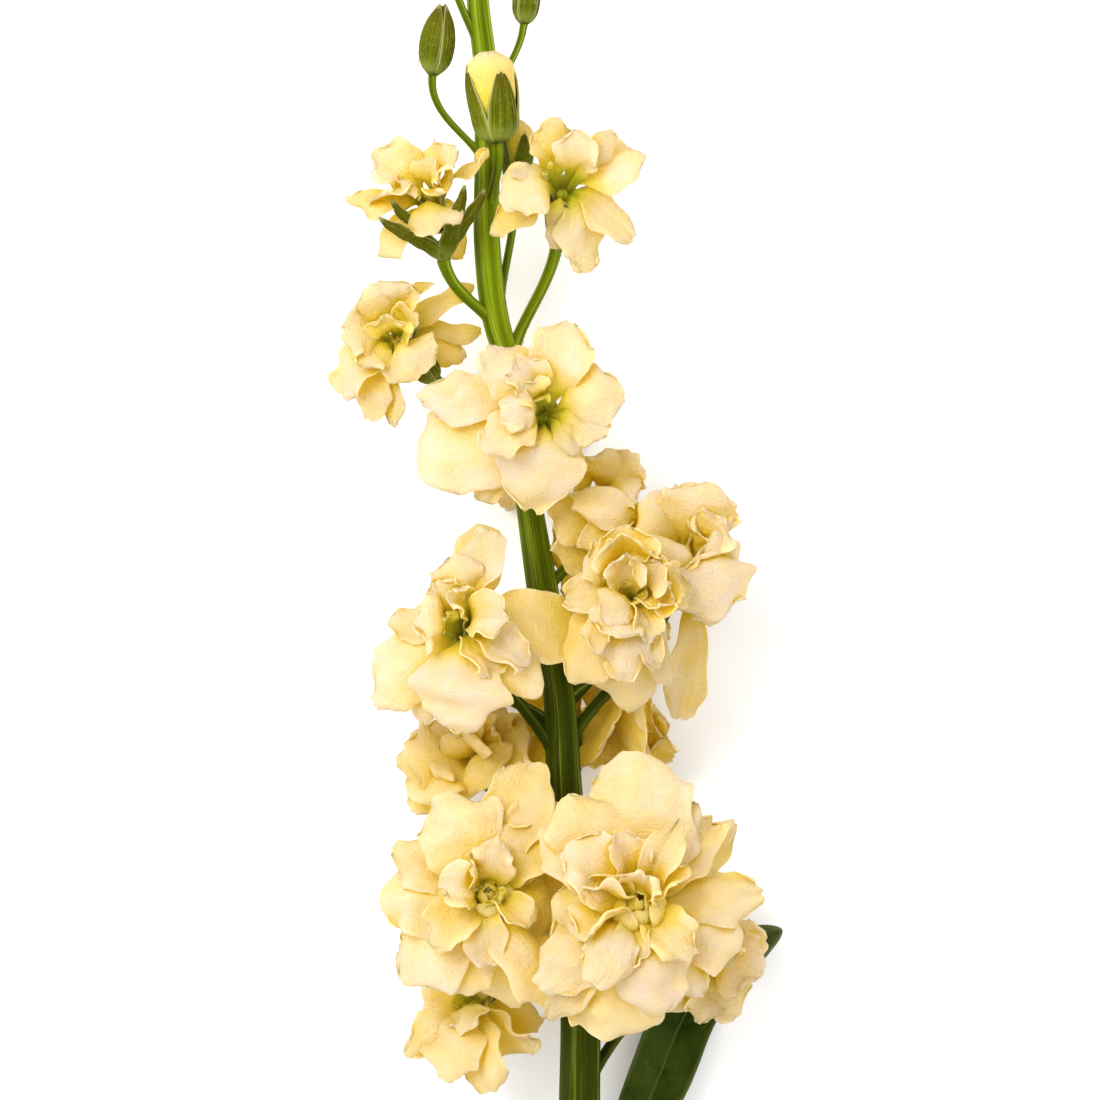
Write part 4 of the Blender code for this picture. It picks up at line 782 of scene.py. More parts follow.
LONG_SEPAL_CRINKLES = 4.5

# Buds: the body that closed sepals lie on is (share of length, share of width), and an opening bud shows a
# dome of folded petals, which lie in layers
BUD_PROFILE = [(0.0, 0.14, 0.12), (0.12, 0.36, 0.28), (0.4, 0.5, 0.4), (0.75, 0.38, 0.3), (1.0, 0.1, 0.02)]
BUD_BODY = [(0.0, 0.1), (0.3, 0.42), (0.7, 0.36), (1.0, 0.08)]
BODY_SHARE = 0.98
BODY_TONE = 0.5
BUD_TURN = 20.0
BUD_TURN_STEP = 40.0
BUD_TONE_STEP = 0.1
OPENING_PROFILE = [
    (0.0, 0.2, 0.16), (0.1, 0.35, 0.3), (0.42, 0.47, 0.34), (0.75, 0.5, 0.2), (1.0, 0.46, 0.02)
]
OPENING_SHARE = 0.84
OPENING_TURN = 25.0
OPENING_FOOT = [(0.0, 0.6), (0.4, 1.5), (1.0, 1.2)]
DOME_PROFILE = [
    (0.0, 0.2, 0.3), (0.3, 0.42, 0.66), (0.62, 0.47, 0.74), (0.88, 0.42, 0.62), (1.0, 0.16, 0.1)
]
DOME_PETALS = 5
DOME_TURN = -20.0
DOME_START = 1.6
DOME_LAYERS = 3
DOME_LAYER_STEP = 0.12
DOME_TONE_STEP = 0.2
DOME_ROWS = 30
DOME_COLUMNS = 21
DOME_PAINT_LENGTH = 3.2
DOME_PAINT_START = 1.4

# The crowded buds at the tip: how far they lean out, how much smaller the last is, and where they stand
# on a body
TIP_BUDS = 7
TIP_BUD_LENGTH = 7.0
TIP_BUD_WIDTH = 3.0
TIP_LEAN = 0.85
TIP_SHRINK = 0.3
TIP_ROOTS = (1.0, 3.4)
TIP_ROOT_OUT = 0.4
TIP_BODY = [(0.0, 0.9), (0.5, 1.4), (1.0, 0.6)]
TIP_BODY_LENGTH = 5.0
TIP_BODY_TONE = 0.4
TIP_TURN_STEP = 50.0
TIP_TONE_STEP = 0.13

# Hairs: how thick and how long they are, how far they lean, and how many grow on each kind of piece
HAIR_RADIUS = 0.03
HAIR_LENGTH = 0.32
HAIR_LENGTHS = (0.5, 1.3)
HAIR_LEAN = 0.6
CALYX_HAIRS = 160
LONG_SEPAL_HAIRS = 600
BUD_HAIRS = 300
TIP_HAIRS = 700
STALK_HAIRS = 3000

# Buds: base, tip, width, the Y where the stalk leaves the stem, and the stalk's radius
BUDS = [
    Bud("bud_01", (-17.9, 71.9, 20.0), (-16.3, 83.0, 20.5), 5.2, 57.0, 0.55),
    Bud("bud_02", (-4.0, 79.6, 20.5), (-3.0, 89.0, 21.0), 3.8, 66.0, 0.5),
    Bud("bud_03", (-7.8, 61.2, 27.0), (-9.4, 75.2, 28.0), 7.6, 50.5, 0.7),
    Bud("bud_04", (-5.1, 55.2, 15.5), (-4.8, 65.6, 14.5), 4.6, 31.0, 0.6),
    Bud("bud_05", (-15.6, 90.5, 18.5), (-16.6, 99.5, 19.0), 4.6, 72.0, 0.6),
    Bud("bud_06", (-12.6, 87.5, 11.5), (-12.8, 97.0, 10.0), 4.6, 76.0, 0.55),
    Bud("bud_07", (-8.2, 97.5, 18.6), (-7.2, 106.0, 19.4), 4.2, 86.0, 0.5),
    Bud("bud_08", (-14.4, 105.0, 18.0), (-15.0, 112.5, 18.8), 3.8, 93.0, 0.45),
]
OPENING_BUDS = ("bud_03", "bud_04")

LEAVES = [
    Leaf(
        "leaf_1",
        [(7.6, -103.0, 12.0), (12.2, -92.0, 9.0), (16.8, -81.5, 4.6), (21.6, -71.0, 0.8),
         (27.6, -63.6, 1.0), (32.4, -60.4, 4.0), (35.6, -58.6, 7.4)],
        9.8, (0.1, 0.1, 1.0),
    ),
    Leaf(
        "leaf_2",
        [(0.6, -112.0, 10.6), (-6.0, -106.0, 7.6), (-15.0, -100.0, 3.6), (-24.0, -95.0, 0.4),
         (-33.6, -89.0, 3.4)],
        9.4, (0.0, 0.0, 1.0),
    ),
    Leaf(
        "leaf_3",
        [(6.6, -134.0, 8.4), (13.0, -124.0, 7.0), (20.0, -113.0, 3.8), (27.0, -101.0, 0.4),
         (33.0, -88.0, 2.4)],
        11.0, (0.0, 0.0, 1.0),
    ),
    Leaf(
        "leaf_4",
        [(-1.2, -156.0, 5.8), (-8.0, -147.0, 5.0), (-16.0, -138.0, 2.8), (-24.0, -130.0, 0.3),
         (-33.0, -122.0, 2.8)],
        11.0, (0.0, 0.0, 1.0),
    ),
    Leaf(
        "leaf_5",
        [(6.4, -171.0, 4.6), (13.0, -160.0, 4.4), (19.0, -148.0, 2.6), (24.0, -137.0, 0.3),
         (28.0, -124.0, 2.2)],
        10.4, (0.0, 0.0, 1.0),
    ),
]


# Vectors


def unit(vector):
    return np.asarray(vector, float) / np.linalg.norm(vector)


def smoothstep(x):
    x = np.clip(x, 0.0, 1.0)
    return x * x * (3.0 - 2.0 * x)


def turned(vector, axis, degrees):
    """The vector turned about a unit axis."""
    angle = math.radians(degrees)
    return (
        vector * math.cos(angle)
        + np.cross(axis, vector) * math.sin(angle)
        + axis * (axis @ vector) * (1.0 - math.cos(angle))
    )


def bezier(a, b, c, d, t):
    """Points of a cubic curve at each t, one a row."""
    t = np.asarray(t, float)[:, None]
    return a * (1 - t) ** 3 + 3 * b * t * (1 - t) ** 2 + 3 * c * t * t * (1 - t) + d * t**3


def smooth_curve(knots, values, t):
    """A smooth curve that takes the values at the knots, one row for each t."""
    slopes = np.gradient(values, knots, axis=0)
    i = np.clip(np.searchsorted(knots, t, side="right") - 1, 0, len(knots) - 2)
    h = (knots[i + 1] - knots[i])[:, None]
    s = (t - knots[i])[:, None] / h
    return (
        values[i] * (1 + 2 * s) * (1 - s) ** 2
        + slopes[i] * h * s * (1 - s) ** 2
        + values[i + 1] * s * s * (3 - 2 * s)
        + slopes[i + 1] * h * s * s * (s - 1)
    )


def smooth_line(points, t):
    """A smooth curve through the points, at shares t of its length."""
    points = np.asarray(points, float)
    walked = walked_along(points[:, :3])
    return smooth_curve(walked / walked[-1], points, np.clip(t, 0.0, 1.0))


def smooth_profile(profile, t):
    """The columns of a profile after its first, which gives the share of the length, at shares t."""
    profile = np.array(profile, float)
    return smooth_curve(profile[:, 0], profile[:, 1:], t).T


def stem_at(y):
    """X, Y, Z and radius of the main stem at each Y."""
    y = np.atleast_1d(np.asarray(y, float))
    columns = [np.interp(y, STEM_LINE[:, 1], STEM_LINE[:, i]) for i in range(4)]
    return np.stack(columns, axis=-1)


def units(vectors):
    """Every vector of an array, made a unit vector."""
    return vectors / np.maximum(np.linalg.norm(vectors, axis=-1, keepdims=True), 1e-9)


def normals_of(sheet):
    """The unit normals of a grid of points."""
    return units(np.cross(np.gradient(sheet, axis=0), np.gradient(sheet, axis=1)))


def walked_along(line):
    """How far each point of a line lies from its start."""
    return np.concatenate([[0.0], np.cumsum(np.linalg.norm(np.diff(line, axis=0), axis=1))])


def steps_along(count):
    """Shares of a blade's length, closer together towards its tip."""
    return np.sin(np.linspace(0.0, 1.0, count) * math.pi / 2)


def steps_across(count):
    """Places across a blade from one edge, -1, to the other, 1, closer together towards both."""
    return np.sin(np.linspace(-1.0, 1.0, count) * math.pi / 2)


def angles_round(sides):
    return np.arange(sides) * 2 * math.pi / sides


def ring_directions(axis, first):
    """Two unit vectors square to an axis, the first one nearest to a given direction."""
    across = unit(first - axis * (axis @ first))
    return across, np.cross(axis, across)


def square_to(axis, guide):
    """Two unit vectors square to an axis, the first one square to a guide as well."""
    across = unit(np.cross(axis, guide))
    return across, np.cross(axis, across)


def spun(pair, angle):
    """The direction at an angle from the first of a pair of directions towards the second."""
    return pair[0] * math.cos(angle) + pair[1] * math.sin(angle)


def aimed(start, end):
    """The unit direction from a start to an end."""
    return unit(np.subtract(end, start))


# Shapes: points, faces, where each point lies for the paint, and how near it is to a rim


Shape = namedtuple("Shape", "points faces place rim")


def places(u, v, tone):
    """What the paint knows of a grid's points: how far along and across each lies, and the blade's tone."""
    return np.stack(np.broadcast_arrays(u[:, None], v[None, :], tone), axis=-1)


def strip(spine, upwards, across, lift):
    """A grid of points that lie across from a middle line and lifted over it, for sepals and leaves."""
    run = units(np.gradient(spine, axis=0))
    side = units(np.cross(run, upwards))
    up = np.cross(side, run)
    return spine[:, None] + side[:, None] * across[..., None] + up[:, None] * lift[..., None]


def rim_share(u, v):
    """How near each point of a blade's grid is to its rim, from 0 in the middle to 1."""
    return np.maximum(np.abs(v)[None, :], np.clip(u, 0.0, 1.0)[:, None] ** 2)


def quads(index):
    """The faces between the neighbours in a grid of point numbers."""
    around = [index[:-1, :-1], index[1:, :-1], index[1:, 1:], index[:-1, 1:]]
    return np.stack(around, axis=-1).reshape(-1, 4)


def blade(sheet, thickness, place, rim):
    """A closed blade round a middle surface, at full thickness inside and none at its rim."""
    rows, columns = sheet.shape[:2]
    inside = np.zeros((rows, columns), bool)
    inside[1:-1, 1:-1] = True
    upper = np.arange(rows * columns).reshape(rows, columns)
    lower = upper.copy()
    lower[inside] = rows * columns + np.arange(inside.sum())
    offset = normals_of(sheet) * thickness / 2
    above = np.where(inside[..., None], sheet + offset, sheet).reshape(-1, 3)
    points = np.vstack([above, (sheet - offset)[inside]])
    faces = np.vstack([quads(upper), quads(lower)[:, ::-1]])
    place = np.vstack([place.reshape(-1, 3), place[inside]])
    rim = np.concatenate([rim.reshape(-1), rim[inside]])
    return Shape(points, faces.tolist(), place, rim)


def closed_rings(rings, place, rim=None):
    """A closed shape over rings of points, with one more point in the middle of its first and last ring."""
    count, sides = rings.shape[:2]
    index = np.arange(count * sides).reshape(count, sides)
    faces = quads(np.hstack([index, index[:, :1]]))[:, ::-1].tolist()
    first, last = count * sides, count * sides + 1
    faces += [(first, (j + 1) % sides, j) for j in range(sides)]
    faces += [(last, (count - 1) * sides + j, (count - 1) * sides + (j + 1) % sides) for j in range(sides)]
    points = np.vstack([rings.reshape(-1, 3), rings[0].mean(axis=0), rings[-1].mean(axis=0)])
    place = np.vstack([place.reshape(-1, 3), place[0].mean(axis=0), place[-1].mean(axis=0)])
    rim = np.zeros((count, sides)) if rim is None else rim
    return Shape(points, faces, place, np.concatenate([rim.ravel(), [rim[0].mean(), rim[-1].mean()]]))


def tube_rings(line, radii, sides, relief=None, slant=0.0, end=None):
    """Rings of points along a line. Relief gives each angle's swelling, and a slant tilts the first ring."""
    along = np.gradient(line, axis=0)
    if end is not None:
        along[-1] = end
    along = units(along)
    guide = UP
    angles = angles_round(sides)
    bulge = 1.0 if relief is None else 1.0 + relief(angles)[:, None]
    rings = []
    for i, (centre, direction) in enumerate(zip(line, along)):
        across = unit(np.cross(guide, direction))
        guide = unit(np.cross(direction, across))
        ring = centre + radii[i] * bulge * (
            np.cos(angles)[:, None] * across + np.sin(angles)[:, None] * guide
        )
        if i == 0:
            ring += slant * ((ring - centre) @ guide)[:, None] * direction
        rings.append(ring)
    return np.array(rings)


def joined(shapes):
    """Several shapes as one."""
    starts = np.cumsum([0] + [len(shape.points) for shape in shapes])
    faces = [[start + i for i in face] for start, shape in zip(starts, shapes) for face in shape.faces]
    points, place, rim = (np.concatenate([shape[i] for shape in shapes]) for i in (0, 2, 3))
    return Shape(points, faces, place, rim)


def hairs(shapes, count, seed):
    """Short hairs spread evenly over some shapes, as slim closed spikes."""
    draw = np.random.default_rng(seed)
    whole = joined(shapes)
    corners = np.array([face[:3] for face in whole.faces])
    a, b, c = (whole.points[corners[:, i]] for i in range(3))
    facing = np.cross(b - a, c - a)
    area = np.linalg.norm(facing, axis=1)
    grown = draw.choice(len(corners), count, p=area / area.sum())
    s, t = draw.uniform(0.0, 1.0, (2, count, 1))
    s, t = np.where(s + t > 1.0, 1.0 - s, s), np.where(s + t > 1.0, 1.0 - t, t)
    roots = a[grown] + s * (b - a)[grown] + t * (c - a)[grown]
    out = facing[grown] / area[grown, None]
    aside = units(np.cross(out, draw.normal(size=(count, 3))))
    beside = np.cross(out, aside)
    length = HAIR_LENGTH * draw.uniform(*HAIR_LENGTHS, (count, 1))
    feet = [roots + HAIR_RADIUS * (spun((aside, beside), angle) - out) for angle in angles_round(3)]
    spikes = np.stack([*feet, roots + length * (out + HAIR_LEAN * aside)], axis=1)
    index = 4 * np.arange(count)[:, None, None] + np.array([(0, 1, 3), (1, 2, 3), (2, 0, 3), (2, 1, 0)])
    where = np.repeat(whole.place[corners[grown, 0]], 4, axis=0)
    return Shape(spikes.reshape(-1, 3), index.reshape(-1, 3).tolist(), where, np.ones(4 * count))


# Petals


def half_width(u, claw, width, foot_width=CLAW_WIDTH, tip_share=TIP_SHARE):
    """Share of a petal's half width at u, from its root to its tip."""
    start = CLAW_START * claw
    narrow = foot_width / width
    rise = np.clip((u - start) / (max(PEAK, claw + LIMB_LEAST) - start), 0.0, 1.0)
    limb = narrow + (1.0 - narrow) * np.sin(rise * math.pi / 2) ** LIMB_POWER
    past = np.clip((u - PEAK) / (1.0 - PEAK), 0.0, 1.0)
    return limb * np.sqrt(1.0 - (1.0 - tip_share**2) * past**TIP_POWER)


def petal_sheet(bloom, leaf, stack, seed, u, v,
                reach=ROOT_REACH, foot_width=CLAW_WIDTH, tip_share=TIP_SHARE):
    """The middle surface of a petal on a grid of u, root to tip, and v, edge to edge.

    The stack is how far it lies over or under its neighbours. Where u is below 0, it runs down the claw. Its
    root stands clear of the bloom's middle by the reach.
    """
    draw = np.random.default_rng(seed)
    waves, phases, sway = draw.uniform(*EDGE_WAVES, 2), draw.uniform(0.0, 1.0, 4), draw.uniform(-1.0, 1.0)
    heart = np.array(bloom.heart, float)
    axis = aimed(bloom.base, heart)
    out = leaf.tip - axis * (axis @ leaf.tip)
    out /= max(np.linalg.norm(out), 1.0)
    layer = np.clip(axis @ leaf.tip / np.linalg.norm(leaf.tip), -1.0, 1.0)
    root = heart + out * reach + axis * (ROOT_LAYERS * layer + ROOT_START)
    tip = heart + leaf.tip
    length = np.linalg.norm(tip - root)
    along = (tip - root) / length
    face = unit(bloom.face) + FACE_LEAN * axis
    face = turned(unit(face - along * (face @ along)), along, leaf.roll + SWAY * sway)
    side = np.cross(along, face)
    crest = tip - along * CREST_SHARE * length + face * leaf.crest
    bend = root + (axis + (BEND_OUT[0] + BEND_OUT[1] * max(-layer, 0.0)) * out) * leaf.rise
    foot = heart - axis * CLAW_DEPTH + out * CLAW_SPREAD
    before = root - unit(bend - root) * CLAW_DEPTH / 3

    def spine_at(u):
        limb = bezier(root, bend, crest, tip, np.maximum(u, 0.0))
        down = 1.0 + np.minimum(u, 0.0) / CLAW_SHARE
        claw = bezier(foot, foot + axis * CLAW_DEPTH / 3, before, root, down)
        return np.where(u[:, None] < 0, claw, limb)

    spine = spine_at(u)
    fine = np.linspace(-CLAW_SHARE, 1.0, SPINE_STEPS)
    run = np.gradient(spine_at(fine), axis=0)
    run = np.stack([np.interp(u, fine, run[:, i]) for i in range(3)], axis=1)
    run = units(run)
    up = units(np.cross(side, run))
    share = half_width(u, leaf.claw, leaf.width, foot_width, tip_share)
    edge = np.where(v < 0, waves[0], waves[1])
    phase = np.where(v < 0, phases[0], phases[1])
    uneven = 1.0 + UNEVEN * np.sin(2 * math.pi * (edge * u[:, None] * UNEVEN_WAVES + phase + UNEVEN_PHASE))
    across = share[:, None] * uneven * v * leaf.width / 2
    ripple = EDGE_WAVE * v**2 * np.sin(2 * math.pi * (edge * u[:, None] + phase))
    ripple = ripple * smoothstep(WAVE_START * u)[:, None] * min(1.0, leaf.width / WAVY_WIDTH)
    lift = leaf.cup * np.abs(v) ** CUP_POWER * share[:, None] + ripple
    at_corner = smoothstep((u - CORNER_START) / CORNER_REACH)[:, None]
    drawn_back = CORNERS_BACK * v**2 * np.abs(across) * at_corner
    sheet = spine[:, None] + side * across[..., None] + up[:, None] * lift[..., None]
    sheet = sheet - run[:, None] * drawn_back[..., None]
    return sheet + face * (stack * smoothstep(STACK_START * u))[:, None, None]


def waves_along(draw, x, frequencies):
    """A random wave along x, about 1 high, of every whole frequency from the lowest to the highest."""
    lowest, highest = frequencies
    total = np.zeros_like(x)
    for k in range(lowest, highest + 1):
        total = total + draw.uniform(0.4, 1.0) * np.sin(2 * math.pi * (k * x + draw.uniform()))
    return total / math.sqrt(highest - lowest + 1)


def crumpled(sheet, u, v, width, seed, share):
    """A petal with a share of the usual pleats, ruffled, curled and ragged rim and crumpled surface."""
    draw = np.random.default_rng((11, *seed))
    calm = smoothstep((width - CALM_WIDTHS[0]) / (CALM_WIDTHS[1] - CALM_WIDTHS[0]))
    size = share * min(width / USUAL_WIDTH, WILDEST) * (1.0 - (1.0 - CALMEST) * calm)
    ups = normals_of(sheet)
    runs, sides = units(np.gradient(sheet, axis=0)), units(np.gradient(sheet, axis=1))
    open_out = smoothstep((u - CRUMPLE_START) / CRUMPLE_REACH)[:, None]
    outwards = np.maximum(u, 0.0)[:, None]
    left, right = waves_along(draw, u, RUFFLES), waves_along(draw, u, RUFFLES)
    ruffle = np.where(v < 0, left[:, None], right[:, None]) * np.abs(v) ** RUFFLE_POWER
    tip_ruffle = waves_along(draw, v / 2, TIP_RUFFLES) * outwards**TIP_RUFFLE_POWER
    curls = draw.uniform(*CURLS, 2)
    at_edge = smoothstep((np.abs(v) - CURL_START) / (1.0 - CURL_START))
    at_tip = smoothstep((u - TIP_CURL_START) / (1.0 - TIP_CURL_START))[:, None]
    curl = np.where(v < 0, curls[0], curls[1]) * at_edge**2
    tip_curl = draw.uniform(*TIP_CURLS) * at_tip**2
    lift = size * open_out * (
        PLEAT * waves_along(draw, v / 2, PLEATS)
        + RUFFLE * ruffle
        + TIP_RUFFLE * tip_ruffle
        + CURL * curl
        + TIP_CURL * tip_curl
    )
    for _ in range(CRUMPLE_WAVES):
        direction = unit(draw.normal(size=3)) * 2 * math.pi / draw.uniform(*CRUMPLE_LENGTHS)
        wave = np.sin(sheet @ direction + draw.uniform(0.0, 2 * math.pi))
        lift = lift + share * CRUMPLE * open_out * wave
    lift = lift + CHANNEL * np.abs(v) * (1.0 - smoothstep(u / CHANNEL_REACH))[:, None]
    ragged = waves_along(draw, u, RAGGED_WAVES)[:, None] * np.sign(v) * np.abs(v) ** RAGGED_POWER
    ragged = ragged * RAGGED_EDGE * size * open_out
    notch = -NOTCH * draw.uniform(0.0, 1.0) * np.exp(-((v / NOTCH_WIDTH) ** 2))
    torn = (RAGGED_TIP * waves_along(draw, v / 2, TORN_WAVES) + notch) * size * outwards**TORN_POWER
    return sheet + ups * lift[..., None] + sides * ragged[..., None] + runs * torn[..., None]


def ruffle_petals(bloom, seed):
    """The small petals crowded round a bloom's heart, fanned by the golden angle."""
    draw = np.random.default_rng(seed)
    facing = unit(unit(bloom.face) + aimed(bloom.base, bloom.heart))
    round_it = square_to(facing, HEART_GUIDE)
    found = []
    for i in range(bloom.ruffles):
        angle = GOLDEN_ANGLE * i + draw.uniform(-HEART_ANGLE_PLAY, HEART_ANGLE_PLAY)
        reach = HEART_SPREAD + HEART_SPREAD_STEP * i + draw.uniform(-HEART_SPREAD_PLAY, HEART_SPREAD_PLAY)
        height = HEART_HEIGHT - HEART_HEIGHT_STEP * i
        tip = facing * height + spun(round_it, angle) * reach
        found.append(petal(*tip, HEART_WIDTH + HEART_WIDTH_STEP * i, rise=2.0, crest=-0.6, cup=0.9))
    return found


# Where the blooms part from each other, from the stem and from the surface


def parting_plane(one, other):
    """The plane that best parts two clouds of points, as (unit normal from one to the other, distance)."""
    points = np.vstack([one, other])
    middle = points.mean(axis=0)
    x = np.hstack([(points - middle) / CLOUD_SPREAD, np.ones((len(points), 1))])
    label = np.concatenate([np.zeros(len(one)), np.ones(len(other))])
    share = np.concatenate([np.full(len(one), 0.5 / len(one)), np.full(len(other), 0.5 / len(other))])
    weights = np.zeros(4)
    for _ in range(PLANE_ROUNDS):
        chance = 1.0 / (1.0 + np.exp(-np.clip(x @ weights, -SUREST, SUREST)))
        slope = x.T @ (share * (chance - label)) + PLANE_DAMPING * weights
        bend = (x * (share * chance * (1 - chance))[:, None]).T @ x + PLANE_DAMPING * np.eye(4)
        weights = weights - np.linalg.solve(bend, slope)
    normal = weights[:3] / CLOUD_SPREAD
    distance = normal @ middle - weights[3]
    size = np.linalg.norm(normal)
    return normal / size, distance / size


def pressed(points, planes, stem_side):
    """The points bent clear of the planes, of the stem and of the surface."""
    flat = points.reshape(-1, 3).copy()
    limit = PLANE_MARGIN + PLANE_SOFTNESS
    for _ in range(PRESS_ROUNDS):
        for normal, distance in planes:
            inside = distance - flat @ normal
            past = (np.minimum(inside, limit) - limit) / PLANE_SOFTNESS
            soft = PLANE_MARGIN + PLANE_SOFTNESS * np.exp(past)
            flat -= np.where(inside < limit, soft - inside, 0.0)[:, None] * normal
        flat = draped(flat, stem_side)
    flat[:, 2] = np.maximum(flat[:, 2], FLOOR_REST)
    return flat.reshape(points.shape)


def draped(points, out):
    """The points lifted over the main stem on the side that out gives."""
    stem = stem_at(points[:, 1])
    reach = stem[:, 3] + PETAL_THICK / 2 + GAP
    from_stem = points - stem[:, :3]
    from_stem[:, 1] = 0.0
    beside = np.array([out[2], 0.0, -out[0]])
    level, aside = from_stem @ out, from_stem @ beside
    over = np.sqrt(np.maximum(reach**2 - aside**2, 0.0))
    near = (np.abs(aside) < reach) & (level > -DRAPE_DEPTH * reach) & (level < over)
    return points + np.where(near, over - level, 0.0)[:, None] * out


def fitted(sheet, root, planes):
    """The sheet drawn in towards its root until it reaches no further than the planes let it."""
    share = 1.0
    for normal, distance in planes:
        room = distance - PLANE_MARGIN - root @ normal
        reach = (sheet.reshape(-1, 3) @ normal).max() - root @ normal
        if reach > room > 0.0:
            share = min(share, max(room / reach, LEAST_FIT))
    return root + (sheet - root) * share


def stem_side(bloom):
    """The direction, across the stem, in which a bloom lies."""
    stem = stem_at(bloom.heart[1])[0]
    out = np.array([bloom.heart[0] - stem[0], 0.0, bloom.heart[2] - stem[2]])
    return unit(out)


def stacks(bloom):
    """How far each petal of a bloom lies over or under its neighbours, so that they pass each other."""
    axis = aimed(bloom.base, bloom.heart)
    facing = unit(unit(bloom.face) + axis)
    across, beside = square_to(axis, GUIDE)
    tips = np.array([leaf.tip for leaf in bloom.petals])
    bearings = np.arctan2(tips @ beside, tips @ across)
    heights = tips @ facing / np.linalg.norm(tips, axis=1)
    over = []
    for bearing, height in zip(bearings, heights):
        apart = np.abs((bearings - bearing + math.pi) % (2 * math.pi) - math.pi)
        near = [j for j in np.argsort(apart)[1:4] if apart[j] < NEIGHBOUR_ANGLE]
        over.append(STACK_STEP * np.sign(height - heights[near]).sum() / max(len(near), 1))
    return over


def frame_petals(number, bloom):
    """(petal, its stack, its seed, its rows) of every petal that the frame gives a bloom."""
    over = stacks(bloom)
    placed = []
    for i, leaf in enumerate(bloom.petals):
        large = np.linalg.norm(leaf.tip) > SMALL_PETAL and bloom.face is not BACK
        placed.append((leaf, over[i], (7, number, i), FRAME_ROWS if large else FRAME_SMALL_ROWS))
    crowded = ruffle_petals(bloom, (5, number))
    return placed + [(p, 0.0, (9, number, i), FRAME_SMALL_ROWS) for i, p in enumerate(crowded)]


def free_points(number, bloom):
    """The middle surfaces of a bloom's petals and calyx before they are bent clear, as one cloud."""
    held = [row for row in frame_petals(number, bloom) if not row[0].free]
    sheets = [petal_sheet(bloom, p, stack, seed, rows, FRAME_ACROSS) for p, stack, seed, rows in held]
    return np.vstack([sheet.reshape(-1, 3) for sheet in sheets] + [calyx_points(bloom)])


def parting_planes(clouds):
    """For each cloud, the planes that part it from each cloud that comes near it."""
    planes = {name: [] for name in clouds}
    names = sorted(clouds)
    for i, one in enumerate(names):
        for other in names[i + 1 :]:
            a, b = clouds[one], clouds[other]
            gap = np.maximum(b.min(0) - a.max(0), a.min(0) - b.max(0)).max()
            if gap > CLOUD_GAP:
                continue
            normal, distance = parting_plane(a, b)
            planes[one].append((normal, distance))
            planes[other].append((-normal, -distance))
    return planes


def calyx_points(bloom):
    """The corners of the frame's calyx of a bloom."""
    axis = aimed(bloom.base, bloom.heart)
    along = np.subtract(bloom.heart, bloom.base)
    round_it = square_to(axis, GUIDE)
    start = bloom.base + axis * (GAP + FOOT_PLAY)
    points = []
    for middle, edge in zip(CALYX_CUP.middles, CALYX_CUP.edges):
        for i in range(2 * SEPALS):
            share, radius = middle if i % 2 == 0 else edge
            out = spun(round_it, math.pi * i / SEPALS)
            points.append(start + along * share + out * radius * CALYX_WIDTH)
    return np.array(points + [start, start + along * CALYX_CUP.floor])


# Paint


class Shade:
    """A number that varies over a surface. Sums and products of it are more such numbers."""

    def __init__(self, paint, socket):
        self.paint = paint
        self.socket = socket

    def combined(self, operation, first, second):
        return self.paint.node("Math", {"operation": operation}, {0: first, 1: second})

    def __add__(self, other):
        return self.combined("ADD", self, other)

    def __radd__(self, other):
        return self.combined("ADD", other, self)

    def __sub__(self, other):
        return self.combined("SUBTRACT", self, other)

    def __rsub__(self, other):
        return self.combined("SUBTRACT", other, self)

    def __mul__(self, other):
        return self.combined("MULTIPLY", self, other)

    def __rmul__(self, other):
        return self.combined("MULTIPLY", other, self)


class Paint:
    """One material, and the ways its nodes are added."""

    def __init__(self, name):
        self.material = bpy.data.materials.new(name)
        self.material.use_nodes = True
        self.tree = self.material.node_tree
        self.tree.nodes.clear()

    def node(self, kind, settings=None, values=None, output=0):
        """One node: its settings first, then the values or links of its sockets."""
        made = self.tree.nodes.new("ShaderNode" + kind)
        for key, value in (settings or {}).items():
            setattr(made, key, value)
        for key, value in (values or {}).items():
            if isinstance(value, Shade):
                self.tree.links.new(value.socket, made.inputs[key])
            else:
                made.inputs[key].default_value = value
        return Shade(self, made.outputs[output])

    def step(self, value, low, high):
        """How far a value has come from low to high, from 0 to 1."""
        return self.node(
            "MapRange", {"interpolation_type": "SMOOTHSTEP"}, {0: value, 1: low, 2: high, 3: 0.0, 4: 1.0}
        )

    def mixed(self, share, first, second, blend="MIX"):
        """The first colour, and the second as far as the share says."""
        settings = {"data_type": "RGBA", "blend_type": blend}
        return self.node("Mix", settings, {0: share, 6: first, 7: second}, 2)

    def place(self):
        """The three numbers of the place attribute."""
        where = self.node("Attribute", {"attribute_name": "place"}, output=1)
        return [self.node("SeparateXYZ", values={0: where}, output=i) for i in range(3)]

    def rim(self):
        return self.node("Attribute", {"attribute_name": "rim"}, output=2)

    def noise(self, vector, scale, detail=2.0, roughness=0.5):
        """Noise from 0 to 1 about the middle."""
        values = {"Vector": vector, "Scale": scale, "Detail": detail, "Roughness": roughness}
        return self.node("TexNoise", values=values)

    def point(self):
        return self.node("TexCoord", output=3)

    def vector(self, x, y, z):
        return self.node("CombineXYZ", values={0: x, 1: y, 2: z})

    def bump(self, height, distance):
        return self.node("Bump", values={"Height": height, "Distance": distance, "Strength": 1.0})

    def skin(self, colour, bump, roughness, shine):
        values = {"Base Color": colour, "Roughness": roughness, "Normal": bump, "Specular IOR Level": shine}
        return self.node("BsdfPrincipled", values=values)

    def finished(self, shader):
        output = self.tree.nodes.new("ShaderNodeOutputMaterial")
        self.tree.links.new(shader.socket, output.inputs["Surface"])
        return self.material


def rgb(*parts):
    return (*parts, 1.0)


